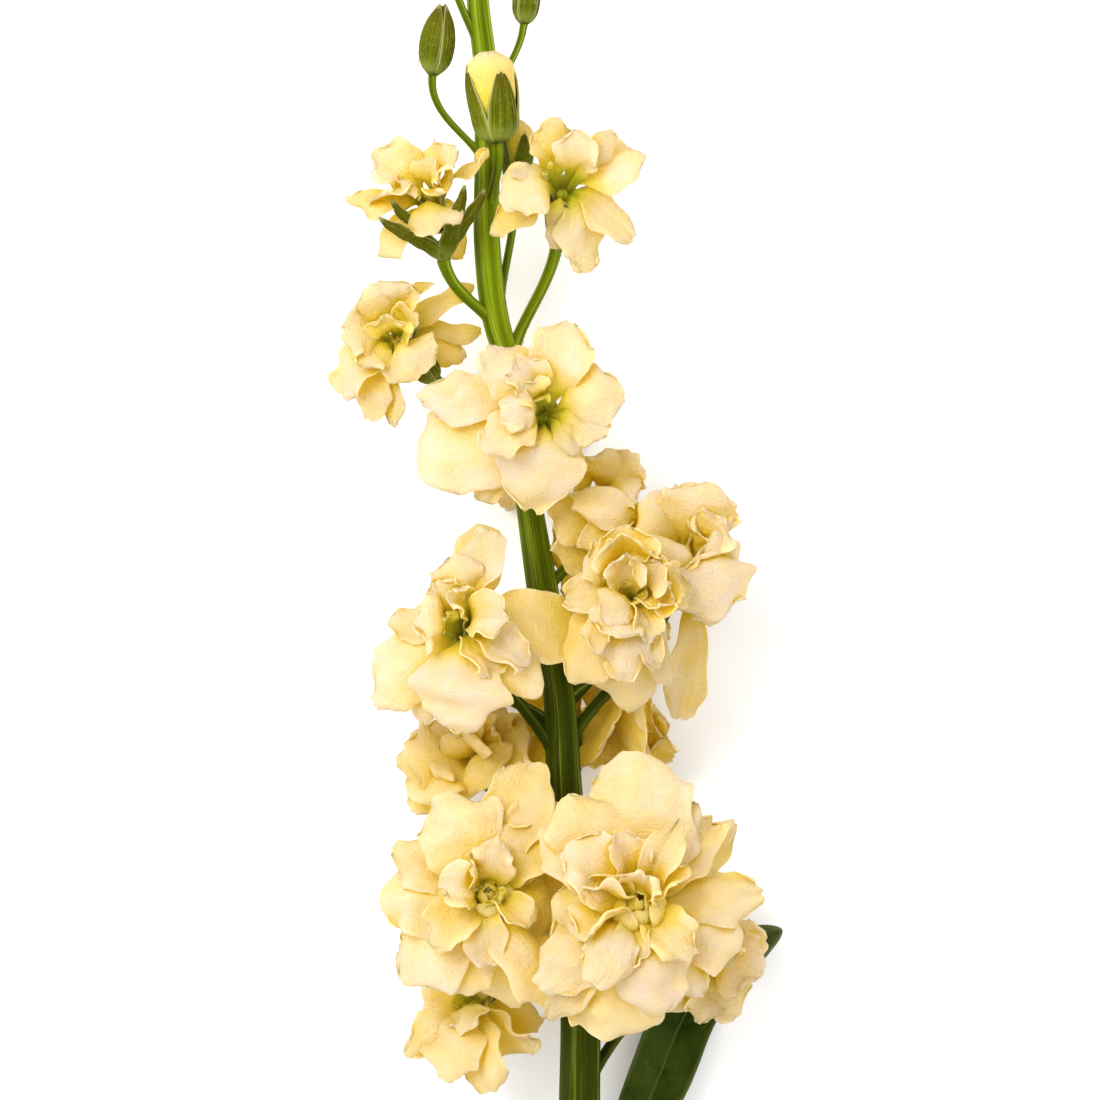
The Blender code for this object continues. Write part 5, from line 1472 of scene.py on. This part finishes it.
def petal_paint():
    """Cream petals, green to yellow at the claw, finely veined like crepe, that let light through.

    Painted shade: golden where petals crowd each other and along crepe creases, dark green down the claws.
    """
    paint = Paint("petal_cream")
    along, across, tone = paint.place()
    rim = paint.rim()
    point = paint.point()
    fan = paint.vector(along * 0.22, across * 7.0, tone * 40.0)
    veins = paint.noise(fan, 1.6, 3.0, 0.6)
    crepe = paint.noise(paint.vector(along * 2.0, across * 3.6, tone * 60.0), 1.4, 4.0, 0.7)
    grain = paint.noise(point, 1500.0, 2.0, 0.6)
    patches = paint.noise(point, 190.0, 2.0)
    open_air = paint.node("AmbientOcclusion", {"samples": 4}, {"Distance": 0.02}, 1)
    cream = paint.mixed(paint.step(patches, 0.35, 0.7), rgb(0.985, 0.875, 0.63), rgb(0.99, 0.92, 0.87))
    cream = paint.mixed(tone * 0.55, cream, rgb(0.98, 0.85, 0.34))
    # Painted shade: a deeper golden colour where the ambient occlusion finds other petals close by
    golden_painted_shade = paint.mixed(paint.step(open_air, 0.2, 0.95), rgb(0.995, 0.74, 0.015), cream)
    yellow = paint.mixed(paint.step(along, 1.5, 7.0), rgb(0.95, 0.78, 0.03), golden_painted_shade)
    green = paint.mixed(paint.step(along, 0.6, 3.6), rgb(0.42, 0.50, 0.01), yellow)
    # Painted shade: the claws turn dark green deep down in the heart of the bloom
    deep = paint.mixed(paint.step(along, -1.5, 1.4), rgb(0.13, 0.14, 0.003), green)
    veined = paint.mixed(paint.step(veins, 0.5, 0.75) * 0.26, deep, rgb(0.97, 0.75, 0.15))
    # Painted shade: golden lines along the crepe, where its creases would be shaded
    crepe_crease_shade = paint.mixed(paint.step(crepe, 0.54, 0.7) * 0.2, veined, rgb(0.96, 0.72, 0.20))
    colour = paint.mixed(paint.step(rim, 0.82, 1.0) * 0.3, crepe_crease_shade, rgb(0.99, 0.96, 0.78))
    bump = paint.bump(crepe * 1.3 + veins * 0.8 + grain * 0.2, 0.0004)
    skin = paint.skin(colour, bump, 0.6, 0.1)
    glow = paint.node("BsdfTranslucent", values={"Color": rgb(1.0, 0.83, 0.18), "Normal": bump})
    return paint.finished(paint.node("MixShader", values={0: 0.5, 1: skin, 2: glow}))


def sepal_paint():
    """Dark olive sepals, browner towards the tip, with pale hairy edges and fine lengthwise veins."""
    paint = Paint("sepal_olive")
    along, across, tone = paint.place()
    rim = paint.rim()
    streaks = paint.noise(paint.vector(along * 1.2, across * 9.0, tone * 30.0), 1.5, 3.0, 0.6)
    mottle = paint.noise(paint.point(), 1400.0, 3.0, 0.7)
    green = paint.mixed(paint.step(streaks, 0.35, 0.7), rgb(0.05, 0.06, 0.001), rgb(0.15, 0.17, 0.006))
    brown = paint.mixed(paint.step(along, 0.4, 1.0) * 0.55, green, rgb(0.10, 0.058, 0.004))
    foot = paint.mixed(1.0 - paint.step(along, 0.0, 0.3), brown, rgb(0.22, 0.26, 0.04))
    downy = paint.mixed(paint.step(mottle, 0.56, 0.8) * 0.35, foot, rgb(0.46, 0.46, 0.22))
    colour = paint.mixed(paint.step(rim, 0.8, 1.0) * 0.6, downy, rgb(0.50, 0.49, 0.20))
    bump = paint.bump(streaks * 0.7 + mottle * 0.6, 0.00025)
    return paint.finished(paint.skin(colour, bump, 0.66, 0.02))


def stem_paint():
    """A green stem, brighter towards its tip, with painted shade in its grooves, pale ridge streaks that are
    partly painted highlight, and pith at its cut.
    """
    paint = Paint("stem_green")
    east, north, along = paint.place()
    ridge = paint.rim()
    height = paint.node("SeparateXYZ", values={0: paint.point()}, output=1)
    streaks = paint.noise(paint.vector(east * 4.0, north * 4.0, along * 0.035), 1.0, 4.0, 0.65)
    lines = paint.noise(paint.vector(east * 13.0, north * 13.0, along * 0.05), 1.0, 2.0, 0.6)
    mottle = paint.noise(paint.point(), 1500.0, 3.0, 0.6)
    low = paint.mixed(paint.step(height, 0.0, 0.075), rgb(0.034, 0.046, 0.0004), rgb(0.19, 0.26, 0.003))
    dark = paint.mixed(paint.step(streaks, 0.35, 0.6), paint.mixed(0.5, low, rgb(0.014, 0.02, 0.0004)), low)
    # Painted shade: a darker colour in the grooves between the ridges
    outside = paint.step(ridge, 0.05, 0.6)
    groove = paint.mixed(0.45, dark, rgb(0.012, 0.018, 0.0003))
    deep = paint.mixed(outside, groove, dark)
    upper = paint.step(height, -0.02, 0.09) * 0.6 + 0.2
    bright = paint.mixed(upper, rgb(0.10, 0.13, 0.008), rgb(0.48, 0.58, 0.11))
    # Partly painted highlight, partly the stem's own pale streaks: paler colour on the ridge crests
    crest = paint.step(ridge, 0.72, 0.98) * paint.step(streaks + lines * 0.6, 0.72, 0.95)
    pale = paint.mixed(crest * 0.75, deep, bright)
    lined = paint.mixed(paint.step(lines, 0.58, 0.75) * 0.22, pale, bright)
    downy = paint.mixed(paint.step(mottle, 0.6, 0.85) * 0.15, lined, bright)
    pith = paint.mixed(paint.step(ridge, 1.02, 1.1), downy, rgb(0.34, 0.42, 0.10))
    colour = paint.mixed(paint.step(ridge, 1.3, 1.55), pith, rgb(0.66, 0.72, 0.38))
    bump = paint.bump(streaks + lines + mottle * 0.3, 0.00025)
    return paint.finished(paint.skin(colour, bump, 0.45, 0.025))


def leaf_paint():
    """A dark green leaf with a pale midrib, side veins and a grey bloom towards its tip."""
    paint = Paint("leaf_green")
    along, across, tone = paint.place()
    rim = paint.rim()
    mottle = paint.noise(paint.point(), 700.0, 4.0, 0.6)
    patches = paint.noise(paint.point(), 130.0, 2.0)
    side = paint.node("Math", {"operation": "ABSOLUTE"}, {0: across})
    veins = paint.noise(paint.vector(along * 9.0 - side * 1.2, 0.7 * side, 3.0 * tone), 2.2, 3.0, 0.55)
    vein_lines = paint.step(veins, 0.56, 0.66)
    midrib = 1.0 - paint.step(side, 0.02, 0.08)
    green = paint.mixed(paint.step(patches, 0.35, 0.68), rgb(0.012, 0.024, 0.001), rgb(0.035, 0.055, 0.004))
    grey = paint.mixed(paint.step(along, 0.72, 0.95) * 0.8, green, rgb(0.07, 0.095, 0.03))
    speckled = paint.mixed(paint.step(mottle, 0.55, 0.8) * 0.3, grey, rgb(0.10, 0.13, 0.05))
    veined = paint.mixed(vein_lines * 0.12, speckled, rgb(0.07, 0.10, 0.015))
    ribbed = paint.mixed(midrib * 0.35, veined, rgb(0.12, 0.16, 0.03))
    colour = paint.mixed(paint.step(rim, 0.85, 1.0) * 0.3, ribbed, rgb(0.16, 0.20, 0.06))
    bump = paint.bump(mottle * 0.5 - vein_lines * 0.8, 0.00025)
    return paint.finished(paint.skin(colour, bump, 0.45, 0.04))


def floor_paint():
    """A plain pale surface with a very fine grain."""
    paint = Paint("floor_white")
    grain = paint.noise(paint.point(), 60.0, 3.0)
    colour = paint.mixed(grain * 0.02, rgb(0.93, 0.93, 0.93), rgb(0.90, 0.90, 0.90))
    return paint.finished(paint.node("BsdfPrincipled", values={"Base Color": colour, "Roughness": 0.9}))


# Pieces


def piece(name, shapes, paint, slot, *nodes):
    """One mesh piece from its shapes, which stands for nodes of the frame and rides with them."""
    whole = joined(shapes)
    mesh = bpy.data.meshes.new(name)
    mesh.from_pydata(((whole.points - MIDDLE) * METRES_PER_MM).tolist(), [], whole.faces)
    mesh.attributes.new("place", "FLOAT_VECTOR", "POINT").data.foreach_set("vector", whole.place.ravel())
    mesh.attributes.new("rim", "FLOAT", "POINT").data.foreach_set("value", whole.rim)
    mesh.materials.append(paint)
    mesh.shade_smooth()
    obj = bpy.data.objects.new(name, mesh)
    bpy.context.scene.collection.objects.link(obj)
    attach(obj, "root")
    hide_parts(*nodes)


def petal_shape(bloom, leaf, stack, seed, planes, rows, columns, youth=1.0):
    """One petal as a thin crumpled blade. Youth is the share of its length that the paint sees."""
    claw = np.linspace(-CLAW_SHARE, 0.0, CLAW_ROWS, endpoint=False)
    u = np.concatenate([claw, steps_along(rows) ** LIMB_STEP_POWER])
    v = steps_across(columns)
    tip_share = SHARPEST_TIP + (BLUNTEST_TIP - SHARPEST_TIP) * np.random.default_rng((19, *seed)).uniform()
    sheet = petal_sheet(bloom, leaf, stack, seed, u, v, HEART_REACH, BROAD_CLAW, tip_share)
    sheet = crumpled(sheet, u, v, leaf.width, seed, BLOOM_CRUMPLE.get(bloom.name, USUAL_CRUMPLE))
    held = [] if leaf.free else planes
    sheet = pressed(fitted(sheet, sheet[CLAW_ROWS, columns // 2], held), held, stem_side(bloom))
    walked = walked_along(sheet[:, columns // 2])
    along = (walked - walked[CLAW_ROWS]) * youth + BLOOM_AGES.get(bloom.name, 0.0)
    tone = np.random.default_rng((17, *seed)).uniform(*BLOOM_TONES.get(bloom.name, USUAL_TONES))
    return blade(sheet, BLADE_THICK, places(along, v, tone), rim_share(u, v))


def fine_petals(number, bloom):
    """(petal, stack, seed, whether it is small) of every open petal that is shown."""
    shown = [(leaf, stack, seed, seed[0] == 9) for leaf, stack, seed, _ in frame_petals(number, bloom)]
    more = MORE_PETALS.get(bloom.name, [])
    return shown + [(leaf, 0.0, (13, number, i), False) for i, leaf in enumerate(more)]


def throat(bloom):
    """The green middle on which a bloom's petals stand."""
    axis = aimed(bloom.base, bloom.heart)
    foot = bloom.heart - axis * THROAT_DEPTH
    body = round_body(foot, axis, THROAT_DEPTH + THROAT_TOP, THROAT_PROFILE, THROAT_TONE)
    return body._replace(place=body.place * (THROAT_PAINT_LENGTH, 1.0, 1.0))


def knot(number, bloom, size, age):
    """The small unopened petals at a bloom's heart, cupped round each other."""
    draw = np.random.default_rng((15, number))
    facing = unit(unit(bloom.face) + KNOT_FACING * aimed(bloom.base, bloom.heart))
    round_it = ring_directions(facing, UP)
    shapes = []
    for i in range(KNOT_PETALS):
        share = i / (KNOT_PETALS - 1)
        out = spun(round_it, GOLDEN_ANGLE * i + draw.uniform(-HEART_ANGLE_PLAY, HEART_ANGLE_PLAY))
        length = size * (KNOT_DEPTH + KNOT_HEIGHT * (1.0 - KNOT_DROP * share)) * draw.uniform(*KNOT_LENGTHS)
        radius, width = (size * (least + more * share) for least, more in (KNOT_RADII, KNOT_WIDTHS))
        profile = [(t, r * radius, w * width) for t, r, w in KNOT_PROFILE]
        foot = bloom.heart - facing * (KNOT_DEPTH * KNOT_SINK) + out * KNOT_ROOT_OUT * share
        tone = draw.uniform()
        lean = KNOT_LEAN * share * size * draw.uniform(*KNOT_LEANS)
        shape = wrapped_blade(foot, facing, out, length, profile, BLADE_THICK, tone,
                              KNOT_ROWS, KNOT_COLUMNS, lean)
        along = (KNOT_PAINT_LENGTH + KNOT_PAINT_MORE * share, 1.0, 1.0)
        shapes.append(shape._replace(place=shape.place * along + (age, 0.0, 0.0), rim=shape.rim * KNOT_RIM))
    return shapes


def dress_bloom(number, bloom, planes, paint):
    shapes = [throat(bloom)]
    if bloom.name in KNOTS:
        shapes += knot(number, bloom, *KNOTS[bloom.name])
    for leaf, stack, seed, small in fine_petals(number, bloom):
        rows, columns = (SMALL_LIMB_ROWS, SMALL_LIMB_COLUMNS) if small else (LIMB_ROWS, LIMB_COLUMNS)
        youth = SMALL_YOUTH if small else 1.0
        shapes.append(petal_shape(bloom, leaf, stack, seed, planes, rows, columns, youth))
    piece(f"petals_{number:02d}", shapes, paint, "petal", bloom.name)


def wrapped_blade(base, axis, out, length, profile, thickness, tone, rows=18, columns=9, lean=0.0):
    """A thin blade wrapped round an axis. The profile gives (share of length, radius, half width)."""
    t = steps_along(rows)
    v = steps_across(columns)
    radius, half = smooth_profile(profile, t)
    half = np.maximum(half, LEAST_HALF_WIDTH)
    beside = np.cross(axis, out)
    angle = half[:, None] * v / radius[:, None]
    reach = radius[:, None] + KEEL * np.exp(-((v / KEEL_WIDTH) ** 2))
    points = (
        base
        + axis * (length * t)[:, None, None]
        + (reach * np.cos(angle))[..., None] * out
        + (reach * np.sin(angle))[..., None] * beside
        + out * (lean * t**2)[:, None, None]
    )
    return blade(points, thickness, places(t, v, tone), rim_share(t, v))


def round_body(base, axis, length, profile, tone, sides=24, rows=16):
    """A closed round body along an axis. The profile gives (share of length, radius)."""
    t = np.linspace(0.0, 1.0, rows)
    (radius,) = smooth_profile(profile, t)
    across, beside = ring_directions(axis, GUIDE)
    angles = angles_round(sides)
    ring = np.cos(angles)[:, None] * across + np.sin(angles)[:, None] * beside
    rings = base + axis * (length * t)[:, None, None] + radius[:, None, None] * ring
    return closed_rings(rings, places(t, angles / math.pi - 1.0, tone))


def sepals(base, tip, width, profile, turn, share, tone):
    """Four sepals of uneven lengths round the axis from base to tip, every second one over the others."""
    axis = unit(tip - base)
    round_it = ring_directions(axis, UP)
    shapes = []
    for i in range(SEPALS):
        out = spun(round_it, math.radians(turn + 360.0 / SEPALS * i))
        length = np.linalg.norm(tip - base) * share * (1.0 + UNEVEN_SEPALS * math.sin(3.0 * i + turn))
        grown = [(s, r * width + OVERLAP * (i % 2), w * width) for s, r, w in profile]
        own_tone = tone + SEPAL_TONE_STEP * i
        shapes.append(wrapped_blade(base, axis, out, length, grown, SEPAL_THICK, own_tone))
    return shapes


def closed_bud(base, tip, width, turn, tone):
    """Four sepals closed over a round body."""
    axis = unit(tip - base)
    body = [(s, r * width) for s, r in BUD_BODY]
    inside = round_body(base, axis, np.linalg.norm(tip - base) * BODY_SHARE, body, BODY_TONE)
    return sepals(base, tip, width, BUD_PROFILE, turn, 1.0, tone) + [inside]


def folded_petals(foot, axis, length, width):
    """The dome of folded petals in an opening bud, in layers that lie close round each other."""
    start = foot + axis * DOME_START
    round_it = ring_directions(axis, UP)
    shapes = []
    for i in range(DOME_PETALS):
        out = spun(round_it, math.radians(DOME_TURN + 360.0 / DOME_PETALS * i))
        under = DOME_LAYER_STEP * (i % DOME_LAYERS)
        profile = [(s, r * width - under, w * width) for s, r, w in DOME_PROFILE]
        fold = wrapped_blade(start, axis, out, length - DOME_START, profile, BLADE_THICK,
                             DOME_TONE_STEP * i, DOME_ROWS, DOME_COLUMNS)
        along = (DOME_PAINT_LENGTH, 1.0, 1.0)
        shapes.append(fold._replace(place=fold.place * along + (DOME_PAINT_START, 0.0, 0.0)))
    return shapes


def long_sepal(foot, axis, tip, tone):
    """A slim sepal that follows the calyx's axis and then bends away to its tip."""
    u = np.linspace(0.0, 1.0, LONG_SEPAL_ROWS)
    v = steps_across(LONG_SEPAL_COLUMNS)
    out = unit(tip - axis * (axis @ tip) + LONG_SEPAL_UP * UP)
    first = foot + axis * LONG_SEPAL_START[0] * np.linalg.norm(tip) + out * LONG_SEPAL_START[1]
    second = foot + tip * LONG_SEPAL_END[0] + out * LONG_SEPAL_END[1]
    spine = bezier(foot, first, second, foot + tip, u)
    (half,) = smooth_profile(LONG_SEPAL_WIDTH, u)
    bow = LONG_SEPAL_BOW * (1.0 - v**2) + LONG_SEPAL_KEEL * np.exp(-((v / LONG_SEPAL_KEEL_WIDTH) ** 2))
    crinkle = np.sin(2 * LONG_SEPAL_CRINKLES * u[:, None] * math.pi + 3.0 * np.sign(v)) * np.abs(v) ** 2
    lift = (bow + LONG_SEPAL_CRINKLE * crinkle) * np.minimum(half, 1.0)[:, None]
    sheet = strip(spine, unit(out + UP), half[:, None] * v, lift)
    return blade(sheet, SEPAL_THICK, places(u, v, tone), rim_share(u, v))


def dress_calyx(number, bloom, paint):
    axis = aimed(bloom.base, bloom.heart)
    foot = bloom.base + axis * GAP
    if bloom.name in SPREAD_SEPALS:
        count = LONG_SEPAL_HAIRS
        tips = enumerate(SPREAD_SEPALS[bloom.name])
        shapes = [long_sepal(foot, axis, np.array(tip), LONG_SEPAL_TONE_STEP * i) for i, tip in tips]
    else:
        count = CALYX_HAIRS
        turn = CALYX_TURN + CALYX_TURN_STEP * number
        shapes = sepals(foot, bloom.heart, 1.0, CALYX_PROFILE, turn, CALYX_REACH, CALYX_TONE_STEP * number)
    shapes.append(round_body(foot, axis, FOOT_LENGTH, CALYX_FOOT, FOOT_TONE))
    shapes.append(hairs(shapes, count, (21, number)))
    piece(f"sepals_{number:02d}", shapes, paint, "sepal", f"calyx_{number:02d}")


def dress_bud(bud, sepal_colour, petal_colour):
    axis = aimed(bud.base, bud.tip)
    foot = bud.base + axis * GAP
    number = int(bud.name[-2:])
    tone = BUD_TONE_STEP * number
    if bud.name in OPENING_BUDS:
        shapes = sepals(foot, bud.tip, bud.width, OPENING_PROFILE, OPENING_TURN, OPENING_SHARE, tone)
        shapes.append(round_body(foot, axis, FOOT_LENGTH, OPENING_FOOT, FOOT_TONE))
        folds = folded_petals(foot, axis, np.linalg.norm(bud.tip - foot), bud.width)
        piece(bud.name + "_folded", folds, petal_colour, "petal", bud.name + "_petals")
    else:
        shapes = closed_bud(foot, bud.tip, bud.width, BUD_TURN + BUD_TURN_STEP * number, tone)
    shapes.append(hairs(shapes, BUD_HAIRS, (22, number)))
    piece(bud.name + "_sepals", shapes, sepal_colour, "bud", bud.name)


def stalk_line(joint, base, axis, t):
    """The middle line of a flower stalk, from inside the stem to the calyx."""
    start, above = stem_at([joint, joint + STALK_AHEAD])[:, :3]
    reach = np.linalg.norm(base - start)
    along_stem = start + unit(above - start) * reach * STALK_RISE
    return bezier(start, along_stem, base - axis * reach * STALK_SWAY, base, t)


def stem_relief(angles):
    ridges = RIDGE_SHARE * np.cos(STEM_RIDGES * angles)
    return ridges + FINE_RIDGE_SHARE * np.cos(FINE_RIDGES * angles + 1.0)


def stalk_relief(angles):
    return STALK_RIDGE_SHARE * np.cos(STALK_RIDGES * angles)


def tube_shape(line, radii, sides, relief, start, slant=0.0, end=None, cut_rings=()):
    """A closed ridged tube. The paint knows each point's direction round it, how far along it lies and its
    ridge. Rings that close the first end count as more than a whole ridge, the further in the more.
    """
    rings = tube_rings(line, radii, sides, relief, slant, end)
    angles = angles_round(sides)
    walked = (walked_along(line) + start)[:, None]
    place = np.stack(np.broadcast_arrays(np.cos(angles), np.sin(angles), walked), axis=-1)
    swelling = relief(angles)
    ridge = (swelling - swelling.min()) / (swelling.max() - swelling.min())
    rim = np.repeat(ridge[None, :], len(line), axis=0)
    centre = rings[0].mean(axis=0)
    for share in cut_rings:
        rings = np.concatenate([(centre + (rings[-len(line)] - centre) * share)[None], rings])
        place = np.concatenate([place[:1], place])
        rim = np.concatenate([np.full((1, sides), 2.0 - share), rim])
    return closed_rings(rings, place, rim)


def dress_stem(paint):
    line = smooth_line(STEM_LINE, np.linspace(0.0, 1.0, STEM_STATIONS))
    main = tube_shape(line[:, :3], line[:, 3], STEM_SIDES, stem_relief, 0.0, CUT_SLANT, cut_rings=CUT_RINGS)
    main.points[:, 2] = np.maximum(main.points[:, 2], STEM_REST)
    shapes = [main]
    stalks = [(b.joint, b.base, aimed(b.base, b.heart), BLOOM_STALK) for b in BLOOMS]
    stalks += [(b.joint, b.base, aimed(b.base, b.tip), b.stalk) for b in BUDS]
    t = np.linspace(0.0, 1.0, STALK_STATIONS)
    at_stem = 1.0 - smoothstep(t / FLARE_SHARE / 2)
    flare = (STALK_FLARE - 1.0) * at_stem + TOP_FLARE * t**TOP_FLARE_POWER
    for i, (joint, base, axis, radius) in enumerate(stalks):
        middle = stalk_line(joint, base + axis * GAP * STALK_INTO_CALYX, axis, t)
        radii = radius * (1.0 + flare)
        shapes.append(tube_shape(middle, radii, STALK_SIDES, stalk_relief, STALK_PAINT_STEP * i, end=axis))
    shapes.append(hairs(shapes[1:], STALK_HAIRS, (23, 0)))
    piece("stem_and_stalks", shapes, paint, "stem", "stem")


def dress_tip(paint):
    """The crowded small buds at the end of the stem."""
    end, below = STEM_LINE[-1][:3], STEM_LINE[-2][:3]
    axis = unit(end - below)
    start = end + axis * GAP
    shapes = [round_body(start, axis, TIP_BODY_LENGTH, TIP_BODY, TIP_BODY_TONE)]
    round_it = square_to(axis, UP)
    for i in range(TIP_BUDS):
        share = i / (TIP_BUDS - 1)
        size = 1.0 - TIP_SHRINK * share
        out = spun(round_it, GOLDEN_ANGLE * i)
        direction = unit(axis + out * (1.0 - TIP_LEAN * share))
        root = start + axis * (TIP_ROOTS[0] + TIP_ROOTS[1] * share) + out * TIP_ROOT_OUT
        tip = root + direction * TIP_BUD_LENGTH * size
        shapes += closed_bud(root, tip, TIP_BUD_WIDTH * size, TIP_TURN_STEP * i, TIP_TONE_STEP * i)
    shapes.append(hairs(shapes, TIP_HAIRS, (24, 0)))
    piece("crowded_buds", shapes, paint, "bud", "tip_buds")


def leaf_sheet(leaf, number, u, v):
    phases = np.random.default_rng((3, number)).uniform(0.0, 1.0, 2)
    spine = smooth_line(leaf.line, u)
    length = np.clip(LEAF_ROOT + (1.0 - LEAF_ROOT) * u, 0, 1)
    share = np.maximum(np.sin(math.pi * length**LEAF_LOWEST), 0.0) ** LEAF_POWER
    share = np.where(u > 0.5, share, np.maximum(share, LEAF_NARROWEST))[:, None]
    phase = np.where(v < 0, phases[0], phases[1])
    wave = LEAF_WAVE * v**2 * np.sin(2 * math.pi * (LEAF_WAVES * u[:, None] + phase))
    groove = LEAF_GROOVE * np.exp(-((v / GROOVE_WIDTH) ** 2))
    fold = TIP_FOLD * v**2 * smoothstep((u - TIP_FOLD_START) / TIP_FOLD_REACH)[:, None]
    lift = (LEAF_FOLD * np.abs(v) + wave + fold - groove) * share
    sheet = strip(spine, unit(leaf.up), share * v * leaf.width / 2, lift)
    sheet[..., 2] = np.maximum(sheet[..., 2], LEAF_REST)
    return sheet


def dress_leaf(leaf, number, paint):
    u = steps_along(LEAF_ROWS)
    v = steps_across(LEAF_COLUMNS)
    sheet = leaf_sheet(leaf, number, u, v)
    shape = blade(sheet, LEAF_THICK, places(u, v, LEAF_TONE_STEP * number), rim_share(u, v))
    piece(f"blade_{number}", [shape], paint, "leaf", leaf.name)


# The picture


def add_camera():
    """A camera that looks straight down on the flowering stretch."""
    data = bpy.data.cameras.new("camera")
    data.sensor_width = SENSOR
    data.lens = SENSOR * (CAMERA_HEIGHT - FOCUS_HEIGHT) / PICTURE_WIDTH
    camera = bpy.data.objects.new("camera", data)
    camera.location = (-MIDDLE[0] * METRES_PER_MM, -MIDDLE[1] * METRES_PER_MM, CAMERA_HEIGHT)
    bpy.context.scene.collection.objects.link(camera)
    bpy.context.scene.camera = camera


def add_key():
    """A square soft light that faces the flowering stretch."""
    data = bpy.data.lights.new("key", "AREA")
    data.size = KEY_SIZE
    data.energy = KEY_POWER
    light = bpy.data.objects.new("key", data)
    light.location = KEY_PLACE
    towards = mathutils.Vector(np.subtract(KEY_AIM, KEY_PLACE))
    light.rotation_euler = towards.to_track_quat("-Z", "Y").to_euler()
    bpy.context.scene.collection.objects.link(light)


def add_world():
    world = bpy.data.worlds.new("studio")
    world.use_nodes = True
    background = world.node_tree.nodes["Background"]
    background.inputs["Color"].default_value = rgb(1.0, 1.0, 1.0)
    background.inputs["Strength"].default_value = WORLD_STRENGTH
    bpy.context.scene.world = world


def add_floor():
    mesh = bpy.data.meshes.new("floor")
    edges = [(-1, -1), (1, -1), (1, 1), (-1, 1)]
    mesh.from_pydata([(x * FLOOR_REACH, y * FLOOR_REACH, 0.0) for x, y in edges], [], [(0, 1, 2, 3)])
    mesh.materials.append(floor_paint())
    floor = bpy.data.objects.new("floor", mesh)
    bpy.context.scene.collection.objects.link(floor)


def corners(box):
    return [list(map(float, corner)) for corner in box]


for leftover in list(bpy.data.objects):
    bpy.data.objects.remove(leftover)
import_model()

petal_colour = petal_paint()
sepal_colour = sepal_paint()
stem_colour = stem_paint()
leaf_colour = leaf_paint()

clouds = {bloom.name: free_points(i, bloom) for i, bloom in enumerate(BLOOMS, 1)}
planes = parting_planes(clouds)
dress_stem(stem_colour)
for number, bloom in enumerate(BLOOMS, 1):
    dress_bloom(number, bloom, planes[bloom.name], petal_colour)
    dress_calyx(number, bloom, sepal_colour)
for bud in BUDS:
    dress_bud(bud, sepal_colour, petal_colour)
dress_tip(sepal_colour)
for number, leaf in enumerate(LEAVES, 1):
    dress_leaf(leaf, number, leaf_colour)

add_floor()
add_camera()
add_world()
add_key()
bpy.context.scene.view_settings.view_transform = "Standard"
